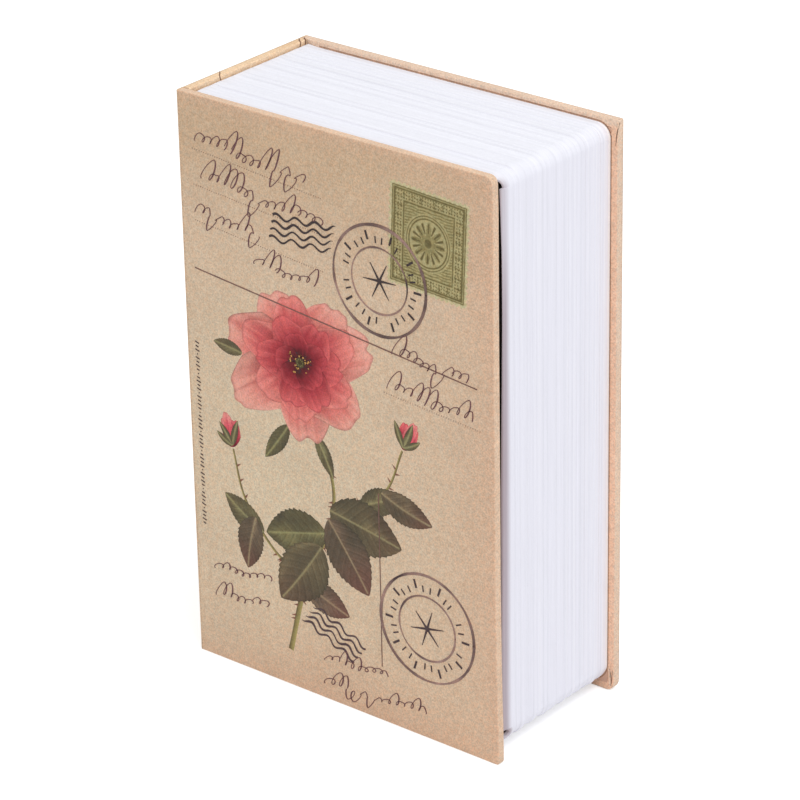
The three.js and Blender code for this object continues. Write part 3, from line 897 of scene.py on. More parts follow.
@dataclass
class CoverBoard:
    """The grey board inside a cover, with the same worn corners as its paper, or a cover's lining."""

    name: str
    node: str
    body: Body
    corners: Corners
    slot: Slot = Slot.GREY_BOARD
    spine_end: float = -57.1

    def build(self, material: Material) -> None:
        """Makes the sheet in place of its node: a box of fine grids within the node's own box.

        Args:
            material: The board's or the lining's finish.
        """
        low, high = (millimetres(corner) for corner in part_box(self.node))
        start = max(low[0], self.spine_end)
        run = np.concatenate([np.linspace(0, 0.9, 40), np.linspace(0.9, 1, 16)[1:]])
        middle = np.linspace(0.06, 0.94, 50)[1:-1]
        rise = np.concatenate([np.linspace(0, 0.06, 14), middle, np.linspace(0.94, 1, 14)])
        across, up = start + (high[0] - start) * run, low[2] + (high[2] - low[2]) * rise
        x, z = np.meshgrid(across, up, indexing="ij")
        surface = Surface()
        surface.sheet(*(placed(x, y, z) for y in (low[1], high[1])))
        surface.points = [self.corners.rounded(group) for group in surface.points]
        piece = make_piece(self.name, surface, material)
        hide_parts(self.node)
        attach(piece, self.body.value)


@dataclass
class WrappedCover:
    """A cover board's printed paper: its face, its three wrapped edges and its turn-ins."""

    name: str
    node: str
    corners: Corners
    side: Side
    body: Body
    x_range: Pair
    outside: float
    inside: float
    lined: float
    height: float
    columns: int
    rows: int
    paper: CasePaper = field(default_factory=CasePaper)
    flare_heights: tuple[float, ...] = (0, 1)
    flares: tuple[float, ...] = (0, 0)
    flare_reach: float = 14
    flare_fade: float = 13
    # Painted light: how far below the top edge the inside is lightened, and over what it fades.
    top_light_band: Pair = (2.6, 1.2)
    fold_loss: float = 0.09
    fold_swing: float = 0.05
    patch_place: Pair = (-26, 66)
    patch_size: float = 46
    brown_start: float = 136
    brown_run: float = 38

    def flared(self, places: Array) -> Array:
        """Pushes the fore edge out by the flare at each height, fading over the face beside it.

        Args:
            places: The points, one row each.

        Returns:
            The moved points.
        """
        moved = places.copy()
        near = smooth_step((moved[:, 0] - self.x_range[1] + self.flare_reach) / self.flare_fade)
        moved[:, 0] += near * np.interp(moved[:, 2], self.flare_heights, self.flares)
        return moved

    def depth_to_y(self, depth: Array) -> Array:
        """Turns a depth below the cover's face into a place along Y."""
        return self.outside - self.side.value * depth

    def shape(self) -> Surface:
        """The cover paper's surface.

        Returns:
            A flat grid for the face, then a sheet that a section carries round the bottom, the fore
            edge and the top. At a corner the section turns about one point, and the turn-in's inner
            line is the path held inside a smaller rectangle, so that its folds meet in a mitre.
        """
        paper = self.paper
        inset = paper.corner_radius
        low, high = inset, self.height - inset
        fore = self.x_range[1] - inset
        across = np.linspace(self.x_range[0], fore, self.columns)
        along = np.linspace(low, high, self.rows)
        surface = Surface()
        surface.grid(placed(across[:, None], self.outside, along))
        turn = np.linspace(0, QUARTER_TURN, 9)[1:-1]
        path_x, path_z, normal_x, normal_z = joined(
            (across, low, 0, -1),
            (fore, low, np.sin(turn), -np.cos(turn)),
            (fore, along, 1, 0),
            (fore, high, np.cos(turn), np.sin(turn)),
            (across[::-1], high, 0, 1),
        )
        depth = abs(self.outside - self.inside)
        wave = 1 - self.fold_loss - self.fold_swing * layered_noise(path_x, path_z, 9, 5)
        reach = paper.turn_in - inset
        hem = paper.hem - inset
        foot = hem + paper.hem_foot
        run = np.concatenate([[hem / 2, hem, hem + paper.hem_foot / 2], np.linspace(foot, reach, 8)])
        goal_x = np.minimum(path_x, fore - reach)
        goal_z = np.clip(path_z, low + reach, high - reach)
        flap_x = path_x[:, None] + (goal_x - path_x)[:, None] * run / reach
        flap_z = path_z[:, None] + (goal_z - path_z)[:, None] * run / reach
        flap_depth = paper.hem_depth(run + inset, depth, abs(self.outside - self.lined))
        sides = []
        for gap, (out, down) in zip((0, paper.thickness), paper.wrap_profile(depth)):
            section_x = path_x[:, None] + (normal_x * wave)[:, None] * out
            section_z = path_z[:, None] + (normal_z * wave)[:, None] * out
            section = placed(section_x, self.depth_to_y(down), section_z)
            flap = placed(flap_x, self.depth_to_y(flap_depth - gap), flap_z)
            sides.append(np.concatenate([section, flap], axis=1))
        surface.sheet(*sides, ("first_column",))
        column = placed(across[0], self.depth_to_y(paper.thickness), along)
        surface.strip(placed(across[0], self.outside, along), column)
        surface.fan(np.concatenate([sides[1][:, 0], column[::-1][1:-1]]))
        return surface

    def tones(self, places: Array) -> Array:
        """The paper's colour at each point: the face's, the edges' or the turn-ins', by depth, with
        painted shade along the outer fold and painted light on the inside near the top edge.

        Args:
            places: The points, one row each.

        Returns:
            One linear colour for each point.
        """
        paper = self.paper
        depth = abs(places[:, 1] - self.outside)
        full = abs(self.outside - self.inside)
        colours = self.face_tones(places[:, 0], places[:, 2])
        to_edge = smooth_step(depth / paper.fold_radius)
        colours = blended(colours, paper.edge_tone, to_edge)
        # Painted shade along the outer fold.
        fold = ridge(depth - 0.8 * paper.fold_radius, 0.7 * paper.fold_radius)
        colours = colours * (1 - paper.fold_shade * fold)[:, None]
        # Painted light: near the top edge the inside takes the edge tone, lightened by a factor.
        reach, fade = self.top_light_band
        near_top = smooth_step((places[:, 2] - self.height + reach) / fade)
        inside = blended(paper.inside_tone, np.asarray(paper.edge_tone) * paper.top_light_share, near_top)
        return blended(colours, inside, smooth_step((depth - full + 0.1) / 0.1))

    def face_tones(self, x: Array, z: Array) -> Array:
        """The aged face: paler in a broad patch, browner at the top, redder low down, warm at its rim.

        Args:
            x: The points' X.
            z: Their Z.

        Returns:
            One linear colour for each point.
        """
        paper = self.paper
        clouds = layered_noise(x, z, 24, 15)
        fore = self.x_range[1] - x
        patch_x, patch_z = self.patch_place
        patch = 0.9 * np.exp(-((x - patch_x) ** 2 + 0.7 * (z - patch_z) ** 2) / self.patch_size**2)
        top = smooth_step((z - self.brown_start) / self.brown_run + 0.25 * clouds)
        low = smooth_step(1 - np.minimum(fore + 14, z + 10) / 42 + 0.2 * clouds) * smooth_step((x + 62) / 60)
        rim = np.exp(-np.minimum(np.minimum(fore, z), self.height - z) / (3.2 + 1.5 * clouds))
        colours = blended(paper.tone, paper.pale_tone, patch)
        colours = blended(colours, paper.brown_tone, 0.85 * top)
        colours = blended(colours, paper.red_tone, 0.8 * low)
        colours = blended(colours, paper.rim_tone, 0.75 * rim)
        return colours * (1 + 0.02 * layered_noise(x, z, 9, 25))[:, None]

    def build(self, material: Material) -> None:
        """Makes the cover's paper, which moves with its cover, in place of its node.

        Args:
            material: The printed paper.
        """
        surface = self.shape()
        surface.points = [self.flared(self.corners.rounded(group)) for group in surface.points]
        piece = make_piece(self.name, surface, material)
        paint(piece.data, PRINT, self.tones(vertex_places(piece.data)))
        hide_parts(self.node)
        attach(piece, self.body.value)


@dataclass
class SpinePaper:
    """The paper round the spine board, and the narrow strips at the spine's two long corners."""

    outside: float = -57.5
    inside: float = -54.75
    lined: float = -55.05
    y_range: Pair = (-25.6, 25.6)
    height: float = 180
    corner_radius: float = 0.8
    strip_fold: float = 0.79
    clearance: float = 0.04
    crease_gap: float = 0.03
    front: float = -28.5
    back: float = 28.5
    rows: int = 60
    foot_lead: float = 0.12
    far_shade: Colour = (0.06, 0.1, 0.14)
    paper: CasePaper = field(default_factory=lambda: CasePaper(
        edge_tone=(0.88, 0.65, 0.43), inside_tone=(0.89, 0.66, 0.45), fold_shade=0.4,
    ))

    def wrap(self) -> Surface:
        """The spine's paper: a section round the board's top and bottom, carried along Y.

        Returns:
            A sheet whose section runs up the inside of the bottom turn-in, round the bottom, up the
            outside and round the top.
        """
        paper = self.paper
        inset = paper.corner_radius
        depth = abs(self.outside - self.inside)
        hem = paper.hem - inset
        foot = hem + paper.hem_foot
        ends = [foot - self.foot_lead, hem, hem / 2]
        flap = np.concatenate([np.linspace(paper.turn_in - inset, foot, 6), ends])
        dip = self.outside + paper.hem_depth(flap + inset, depth, abs(self.outside - self.lined))
        rise = np.linspace(inset, self.height - inset, self.rows)[1:-1]
        y = np.linspace(*self.y_range, self.rows)
        sides = []
        for gap, (out, down) in zip((0, paper.thickness), paper.wrap_profile(depth)):
            end_x = np.concatenate([dip - gap, self.outside + down[::-1]])
            end_z = np.concatenate([inset + flap, inset - out[::-1]]) + self.clearance
            x, z = joined(
                (end_x, end_z), (self.outside + gap, rise), (end_x[::-1], self.height - end_z[::-1])
            )
            sides.append(placed(x, y[:, None], z))
        surface = Surface()
        surface.sheet(*sides)
        return surface

    def corner_strip(self, side: Side) -> Surface:
        """A strip of paper round one of the spine's long corners.

        Args:
            side: The front or the back corner.

        Returns:
            A section in X and Y, an arc and then a straight run along the spine, carried up the
            book. At its two ends the sheet rounds over and folds in towards the arc's centre.
        """
        paper = self.paper
        radius = self.corner_radius
        face = self.front if side is Side.FRONT else self.back
        end = self.y_range[0] if side is Side.FRONT else self.y_range[1]
        sign = side.value
        angle = np.linspace(0, QUARTER_TURN, 9)
        centre_x = self.outside + radius
        centre_y = face - sign * radius
        crease = self.crease_gap if side is Side.FRONT else 0.0
        run = np.linspace(centre_y, end + sign * crease, 7)[1:]
        sine, cosine = np.sin(angle), np.cos(angle)
        x, y, normal_x, normal_y = joined(
            (centre_x - radius * sine, centre_y + sign * radius * cosine, -sine, sign * cosine),
            (self.outside, run, -1, 0),
        )
        fold = paper.fold_radius
        out_arc, down_arc = quarter_round(fold, paper.round_steps)
        rise = np.linspace(fold, self.height - fold, self.rows)[1:-1]
        sides = []
        for gap in (0, paper.thickness):
            share = (fold - gap) / fold
            bend = fold - out_arc * share
            inward, z = joined(
                (self.strip_fold, gap),
                (bend, gap + down_arc * share),
                (gap, rise),
                (bend[::-1], self.height - gap - down_arc[::-1] * share),
                (self.strip_fold, self.height - gap),
            )
            sides.append(placed(
                x[:, None] - normal_x[:, None] * inward, y[:, None] - normal_y[:, None] * inward, z
            ))
        surface = Surface()
        surface.sheet(*sides)
        return surface

    def tones(self, places: Array) -> Array:
        """The spine's colours: the case's tone, paler over the ends, painted shade along the outer fold.

        Args:
            places: The points, one row each.

        Returns:
            One linear colour for each point.
        """
        paper = self.paper
        colours = np.tile(np.asarray(paper.tone), (len(places), 1))
        end = np.minimum(places[:, 2], self.height - places[:, 2])
        colours = blended(colours, paper.edge_tone, 1 - smooth_step(end / 0.4))
        # Painted shade along the outer fold.
        fold = ridge(places[:, 0] - self.outside - 0.25, 0.3) * (end < 1)
        colours = colours * (1 - paper.fold_shade * fold)[:, None]
        to_inside = smooth_step((places[:, 0] - self.inside + 0.3) / 0.3) * (np.abs(places[:, 1]) < 25.7)
        far = smooth_step((places[:, 1] - 8) / 14)
        colours = colours * (1 - np.asarray(self.far_shade) * far[:, None] * (end < 3)[:, None])
        return blended(colours, paper.inside_tone, to_inside)

    def build(self, material: Material) -> None:
        """Makes the spine's paper and its two corner strips, of which the front one is attached to no body.

        Args:
            material: The printed paper.
        """
        wrap = make_piece("spine_wrap", self.wrap(), material)
        crease = make_piece("crease_strip", self.corner_strip(Side.FRONT), material)
        corner = make_piece("back_corner_strip", self.corner_strip(Side.BACK), material)
        for piece in (wrap, crease, corner):
            paint(piece.data, PRINT, self.tones(vertex_places(piece.data)))
        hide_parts("spine_paper")
        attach(wrap, Body.BOOK.value)
        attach(corner, Body.BOOK.value)
        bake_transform(crease)


@dataclass
class EdgeLining:
    """The lining's thin flaps over the boards' raw edges on the two sides of the crease."""

    thickness: float = 0.04
    rise: Pair = (0.4, 179.6)
    cover_run: tuple[Pair, Pair] = ((-57.14, -28.18), (-57.14, -25.74))
    spine_run: tuple[Pair, Pair] = ((-57.26, -25.58), (-54.97, -25.58))

    def flap(self, run: tuple[Pair, Pair]) -> Surface:
        """A flat flap: first + share (second - first) in X and Y, carried up the book.

        Args:
            run: The flap's first and second point in X and Y.

        Returns:
            A sheet whose thickness lies to the left of its run.
        """
        (first_x, first_y), (second_x, second_y) = run
        share, z = np.meshgrid(np.linspace(0, 1, 4), np.linspace(*self.rise, 40), indexing="ij")
        x = first_x + (second_x - first_x) * share
        y = first_y + (second_y - first_y) * share
        step = self.thickness / math.dist(*run)
        surface = Surface()
        lifted_x, lifted_y = x - (second_y - first_y) * step, y + (second_x - first_x) * step
        surface.sheet(placed(x, y, z), placed(lifted_x, lifted_y, z))
        return surface

    def build(self, material: Material) -> None:
        """Makes the front cover's flap and the spine's.

        Args:
            material: The lining paper.
        """
        cover = make_piece("cover_edge_lining", self.flap(self.cover_run), material)
        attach(cover, Body.FRONT_COVER.value)
        spine = make_piece("spine_edge_lining", self.flap(self.spine_run), material)
        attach(spine, Body.BOOK.value)


# The print on the front cover


def printed(red: float, green: float, blue: float) -> Array:
    """A print colour as the lit cover shows it, made linear and freed of its light.

    Args:
        red: The lit cover's red, in steps of 0 to 255.
        green: Its green.
        blue: Its blue.

    Returns:
        The linear colour: each part over the cover's light.
    """
    cover_light = 0.76
    steps = np.array([red, green, blue], float) / 255
    linear = np.where(steps <= 0.04045, steps / 12.92, ((steps + 0.055) / 1.055) ** 2.4)
    return np.minimum(linear / cover_light, 0.95)


def spline(controls: Sequence[Pair], count: int) -> Array:
    """A smooth path through points: each stretch is a cubic whose ends lean along their neighbours.

    Args:
        controls: The points, each X and Z.
        count: How many points the path has.

    Returns:
        The path, one row for each point.
    """
    knots = np.asarray(controls, float)
    padded = np.vstack([2 * knots[0] - knots[1], knots, 2 * knots[-1] - knots[-2]])
    place = np.linspace(0, len(knots) - 1, count)
    piece = np.minimum(place.astype(int), len(knots) - 2)
    t = (place - piece)[:, None]
    a, b, c, d = (padded[piece + step] for step in range(4))
    return (2 * b + (c - a) * t + (2 * a - 5 * b + 4 * c - d) * t**2 + (3 * b - a - 3 * c + d) * t**3) / 2


def turned(along: Array, across: Array, place: Pair, angle: float) -> tuple[Array, Array]:
    """Turns local lengths by an angle in degrees and moves them to a place: X and Z."""
    cosine, sine = math.cos(math.radians(angle)), math.sin(math.radians(angle))
    return place[0] + along * cosine - across * sine, place[1] + along * sine + across * cosine


def between(start: Pair, end: Pair, share: Array) -> Array:
    """Points on a straight line: its start plus a share of the way to its end, one row each."""
    return np.asarray(start) + (np.asarray(end) - np.asarray(start)) * share[:, None]


def course(path: Array) -> tuple[Array, Array]:
    """A path's directions and normals.

    Args:
        path: Its points, X and Z.

    Returns:
        The unit direction at each point, its slope over its length, and the unit normal there.
    """
    lean = np.gradient(path, axis=0)
    lean = lean / np.maximum(np.linalg.norm(lean, axis=1, keepdims=True), 1e-9)
    return lean, np.stack([-lean[:, 1], lean[:, 0]], axis=1)


@dataclass
class PrintLayers:
    """Thin layers of print that lie on the front cover's face, one above the other."""

    face: float
    step: float = 0.006
    under: float = 0.0015
    surface: Surface = field(default_factory=Surface)

    def lay(self, x: Array, z: Array, colours: Array, level: float) -> None:
        """Adds one closed layer whose outline is its grid's rim."""
        self.surface.printed_patch(x, z, colours, self.face - level * self.step, self.face - self.under)

    def band(self, path: Array, shift: Array, colours: Array, level: float) -> None:
        """Lays a band of one colour across, from the path less a shift to the path plus it."""
        sides = np.stack([path - shift, path + shift], axis=1)
        self.lay(sides[..., 0], sides[..., 1], np.repeat(colours[:, None, :], 2, axis=1), level)

    def stroke(self, path: Array, width: Array, ink: Array, level: float, seed: int) -> None:
        """Draws a line of ink along a path.

        Args:
            path: Its points, X and Z.
            width: The line's width at each point.
            ink: Its colour.
            level: The layer that it lies in.
            seed: The draw of its uneven tone.
        """
        shift = course(path)[1] * (np.broadcast_to(width, len(path)) / 2)[:, None]
        uneven = 1 + 0.22 * layered_noise(path[:, 0], path[:, 1], 1.8, seed)
        self.band(path, shift, np.asarray(ink) * uneven[:, None], level)

    def dots(self, places: Array, radius: float, ink: Array, level: float) -> None:
        """Draws a small round dot at each place: a disc of two rings.

        Args:
            places: The dots' middles, X and Z.
            radius: Their radius.
            ink: Their colour.
            level: The layer that they lie in.
        """
        angle = np.linspace(0, FULL_TURN, 9)
        for place in places:
            x = place[0] + radius * np.stack([np.zeros_like(angle), np.cos(angle)])
            z = place[1] + radius * np.stack([np.zeros_like(angle), np.sin(angle)])
            self.lay(x, z, np.broadcast_to(ink, (2, len(angle), 3)), level)

    def finish(self, name: str, material: Material) -> None:
        """Makes the layers a piece that moves with the front cover."""
        piece = make_piece(name, self.surface, material)
        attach(piece, Body.FRONT_COVER.value)


@dataclass
class PetalTones:
    """A petal's three tones, from its base to its tip."""

    base: Array
    middle: Array
    tip: Array

    @classmethod
    def of(cls, *steps: tuple[int, int, int]) -> "PetalTones":
        """The tones whose print colours are given in steps of 0 to 255."""
        return cls(*(printed(*step) for step in steps))


@dataclass
class Bloom(PrintLayers):
    """An open flower with four rings of petals round a dark eye, and its buds."""

    centre: Pair = (-14, 107)
    flatten: float = 0.88
    tilt: float = 28

    def petal(
        self, place: Pair, angle: float, size: Pair, tones: PetalTones, level: float, seed: int,
        covered: float,
    ) -> None:
        """Draws one petal.

        Args:
            place: Where it grows from.
            angle: The way it points, in degrees.
            size: Its length and its width.
            tones: Its colours.
            level: Its layer.
            seed: The draw of its waves and streaks.
            covered: The share of its length that other petals cover and shade.

        The width grows with the root of the way out; the tip is a blunt arc with a soft notch and
        small waves; streaks fan out from the base, and one half is shaded as if it were folded.
        """
        draw = np.random.default_rng(seed)
        u = np.linspace(0, 1, 44)[:, None]
        v = np.linspace(-1, 1, 34)[None, :]
        length, width = size
        skew = draw.uniform(-0.25, 0.25)
        ripple = 0.07 * layered_noise(v + 5, np.zeros_like(v), 0.42, seed, 2)
        notch = draw.uniform(0.0, 0.09) * ridge(v - skew, 0.2)
        reach = length * (1 - 0.42 * np.abs(v - skew * 0.4) ** 2.7 - notch + ripple)
        swell = 1 + 0.06 * layered_noise(u * 3, u * 0 + 3, 1, seed + 3, 2)
        half = width / 2 * u**0.52 * (1.12 - 0.3 * u**2) * swell
        along = reach * u
        across = half * v + draw.uniform(-0.09, 0.09) * length * u**2
        local_x, local_z = turned(along, across, (0, 0), angle - self.tilt)
        x, z = turned(local_x, local_z * self.flatten, place, self.tilt)
        streak = layered_noise(v * 7 + 9, u * 0.9, 1, seed + 7, 3)
        cloud = layered_noise(v * 1.3 + 4, u * 1.6, 1, seed + 11, 2)
        depth = u + 0.16 * streak + 0.2 * cloud
        colours = blended(tones.base, tones.middle, smooth_step((depth - 0.12) / 0.42))
        colours = blended(colours, tones.tip, smooth_step((depth - 0.55) / 0.45))
        fold = draw.choice([-1, 1])
        light = 1 + 0.16 * streak - 0.24 * smooth_step(v * fold - 0.05) * (0.4 + 0.6 * u)
        light = light - 0.3 * smooth_step((covered + 0.2 - u) / 0.2)
        vein = ridge(v - skew * u, 0.035) * 0.14
        rim = np.maximum(smooth_step((np.abs(v) - 0.93) / 0.07), smooth_step((u - 0.965) / 0.035))
        lit_rim = smooth_step((u - 0.86) / 0.08) * (1 - smooth_step((u - 0.95) / 0.03))
        light = light - vein - 0.3 * rim + 0.1 * lit_rim
        self.lay(x, z, np.clip(colours * light[..., None], 0.01, 0.92), level)

    def eye(self) -> None:
        """Draws the dark eye and its stamens: rays of fine lines, each with a dot at its end."""
        draw = np.random.default_rng(31)
        dark = printed(64, 30, 38)
        gold = printed(196, 150, 84)
        for index in range(38):
            angle = draw.uniform(0, FULL_TURN)
            reach = draw.uniform(1.6, 4.6)
            x, z = self.centre
            tip = (x + reach * math.cos(angle), z + reach * self.flatten * math.sin(angle))
            path = spline([self.centre, ((x + tip[0]) / 2 + 0.2, (z + tip[1]) / 2), tip], 6)
            self.stroke(path, np.full(6, 0.16), dark, 15, index)
            self.dots(np.array([tip]), draw.uniform(0.2, 0.34), gold if index % 3 else dark, 15.5)
        self.dots(np.array([self.centre]), 1.7, printed(74, 66, 44), 16)
        angle = np.linspace(0, FULL_TURN, 10)[:-1]
        ring = np.stack([self.centre[0] + 1.1 * np.cos(angle), self.centre[1] + 1.0 * np.sin(angle)], axis=1)
        self.dots(ring, 0.22, printed(120, 112, 66), 16.5)

    def rings(self) -> None:
        """Draws the petals from the outermost ring inwards, each ring smaller and deeper in tone."""
        table = (
            (7, 12.0, (28.5, 25.0), ((178, 60, 66), (206, 108, 102), (214, 150, 136)), 2.0, 0.55),
            (6, 38.0, (22.5, 20.5), ((150, 40, 50), (190, 82, 84), (210, 124, 116)), 5.0, 0.5),
            (6, 8.0, (16.4, 16.4), ((112, 26, 38), (164, 56, 64), (196, 92, 92)), 8.0, 0.45),
            (5, 30.0, (10.6, 12.0), ((80, 18, 28), (132, 36, 46), (172, 66, 72)), 11.5, 0.4),
        )
        draw = np.random.default_rng(5)
        for ring, (count, start, size, steps, level, covered) in enumerate(table):
            tones = PetalTones.of(*steps)
            for index in range(count):
                angle = start + 360 / count * index + draw.uniform(-7, 7)
                share = draw.uniform(0.9, 1.08)
                own = (size[0] * share, size[1] * draw.uniform(0.92, 1.1))
                seed = 40 + ring * 9 + index
                self.petal(self.centre, angle, own, tones, level + 0.36 * index, seed, covered)

    def bud(self, place: Pair, angle: float, size: float) -> None:
        """Draws a closed bud: three narrow petals that overlap.

        Args:
            place: Where it grows from.
            angle: The way it points, in degrees.
            size: Its length.
        """
        tones = PetalTones.of((150, 40, 56), (206, 84, 96), (228, 134, 128))
        shade = PetalTones.of((110, 28, 44), (168, 52, 68), (206, 96, 100))
        for index, (lean, share) in enumerate(((-13, 0.82), (14, 0.86), (0, 1.0))):
            chosen = tones if index == 2 else shade
            own = (size * share, size * 0.5)
            self.petal(place, angle + lean, own, chosen, 4 + 0.5 * index, 90 + index + int(angle), 0.1)


@dataclass
class Foliage(PrintLayers):
    """The flower's stems, thorns and leaves."""

    def leaf(self, base: Pair, angle: float, size: Pair, level: float, seed: int, warmth: float) -> None:
        """Draws one leaf with a saw-toothed rim, a pale midrib and side veins.

        Args:
            base: Where it grows from.
            angle: The way it points, in degrees.
            size: Its length and its width.
            level: Its layer.
            seed: The draw of its bend and clouds.
            warmth: From 0, olive, to 1, a reddish brown tip.

        The half width is a sine of the way out, raised so that the leaf is broadest near its base;
        the side veins are ridges of a saw wave that leans forward from the midrib.
        """
        draw = np.random.default_rng(seed)
        u = np.linspace(0, 1, 84)[:, None]
        v = np.linspace(-1, 1, 31)[None, :]
        length, width = size
        teeth = 1 + 0.1 * (((u * 13 + 0.2 * v) % 1) - 0.5) * np.abs(v) ** 5
        half = width / 2 * np.sin(math.pi * u**0.78) ** 0.82 * teeth
        along = length * (u + 0.05 * v**2 * np.sin(math.pi * u))
        bend = draw.uniform(-0.16, 0.16) * length * u**2
        x, z = turned(along, half * v + bend, base, angle)
        side = np.where(v > 0, 1.0, 0.0)
        deep, brown = printed(66, 60, 48), printed(104, 66, 58)
        middle = blended(printed(98, 92, 64), printed(104, 84, 72), np.array(warmth))
        pale = blended(printed(140, 136, 94), printed(150, 128, 104), np.array(warmth))
        cloud = layered_noise(u * 3 + 2, v * 1.2 + 3, 1, seed + 2, 3)
        share = 0.45 + 0.5 * cloud + 0.3 * side - 0.45 * np.abs(v) * side
        colours = blended(blended(deep, middle, share * 1.4), pale, share - 0.55)
        colours = blended(colours, brown, warmth * smooth_step((u - 0.35) / 0.6) * 0.8)
        phase = (u * 8.2 - np.abs(v) * (1.5 + 0.4 * (1 - u)) + 0.35 * side) % 1
        veins = ridge(phase - 0.5, 0.085) * (1 - 0.45 * np.abs(v))
        shadow = ridge(phase - 0.7, 0.12)
        hatch = layered_noise(u * 60, v * 4, 1, seed + 5, 2)
        light = 1 + 0.34 * veins - 0.2 * shadow + 0.12 * hatch
        midrib = ridge(v * np.maximum(half, 0.3), 0.3) * (u < 0.97)
        colours = blended(colours * light[..., None], pale * 1.15, 0.75 * midrib * np.ones_like(v))
        rim = smooth_step((np.abs(v) - 0.9) / 0.1) * np.ones_like(u)
        self.lay(x, z, np.clip(blended(colours, deep * 0.7, 0.55 * rim), 0.01, 0.9), level)

    def stem(self, controls: Sequence[Pair], widths: Pair, level: float, thorns: int) -> None:
        """Draws a stem along a path, lit along one side, with small thorns.

        Args:
            controls: The points that it runs through.
            widths: Its width at its first and last point.
            level: Its layer.
            thorns: How many thorns it has.
        """
        path = spline(controls, 90)
        lean, normal = course(path)
        width = np.linspace(*widths, len(path)) * (1 + 0.14 * layered_noise(path[:, 0], path[:, 1], 4, 8))
        across = np.linspace(-1, 1, 6)
        grid = path[:, None, :] + normal[:, None, :] * (width[:, None] / 2 * across)[..., None]
        share = (across[None, :] + 1) / 2 + 0.3 * layered_noise(path[:, :1], path[:, 1:], 2.4, 9)
        colours = blended(printed(88, 74, 50), printed(158, 146, 92), share)
        self.lay(grid[..., 0], grid[..., 1], colours, level)
        draw = np.random.default_rng(thorns + 3)
        for index in range(thorns):
            step = int(draw.uniform(0.12, 0.92) * len(path))
            way = 1 if index % 2 else -1
            root = path[step] + normal[step] * way * width[step] * 0.4
            tip = root + normal[step] * way * 1.5 + lean[step] * 0.7
            thorn = spline([tuple(root), tuple((root + tip) / 2), tuple(tip)], 5)
            self.stroke(thorn, np.linspace(0.75, 0.1, 5), printed(120, 80, 66), level + 0.5, index)

    def draw(self) -> None:
        """Draws the stems, then the leaves from the lowest layer up."""
        self.stem([(-10, 88), (-3, 72), (-5, 56), (-14, 38), (-21, 12)], (0.9, 1.9), 2, 15)
        self.stem([(-5, 58), (6, 68), (17, 76), (23, 90)], (1.0, 0.7), 1.4, 6)
        self.stem([(-15, 37), (-27, 44), (-37, 57), (-41, 72)], (1.1, 0.7), 1.4, 7)
        self.stem([(-4, 62), (2, 58), (9, 57)], (0.7, 0.5), 1.2, 0)
        table = (
            ((-9, 86), 300, (14, 5), 0.1), ((-19, 86), 236, (16, 5.6), 0.0),
            ((-36, 104), 172, (11, 4.6), 0.2), ((7, 68), 24, (17, 8.5), 0.2),
            ((15, 74.5), -24, (19, 9.5), 0.6), ((-30, 48), 158, (17, 9), 0.1),
            ((-33, 52), 250, (18, 10), 0.7), ((-4.5, 63), -8, (27, 17), 0.3),
            ((-6, 55), 196, (24, 15), 0.0), ((-15, 36), -20, (18, 10), 0.9),
            ((-5, 60), -52, (25, 16), 0.8), ((-8, 50), 238, (27, 17), 0.35),
        )
        for index, (base, angle, size, warmth) in enumerate(table):
            self.leaf(base, angle, size, 2.9 + 0.45 * index, 60 + index, warmth)
        sepals = (
            ((23.4, 91), 62, (9, 2.6)), ((23.4, 91), 112, (8.4, 2.4)), ((23.4, 91), 20, (7, 2.2)),
            ((-41.2, 73), 78, (9, 2.5)), ((-41.2, 73), 122, (8, 2.4)), ((-41.2, 73), 160, (6.6, 2.2)),
        )
        for index, (base, angle, size) in enumerate(sepals):
            self.leaf(base, angle, size, 10 + 0.4 * index, 80 + index, 0.1)


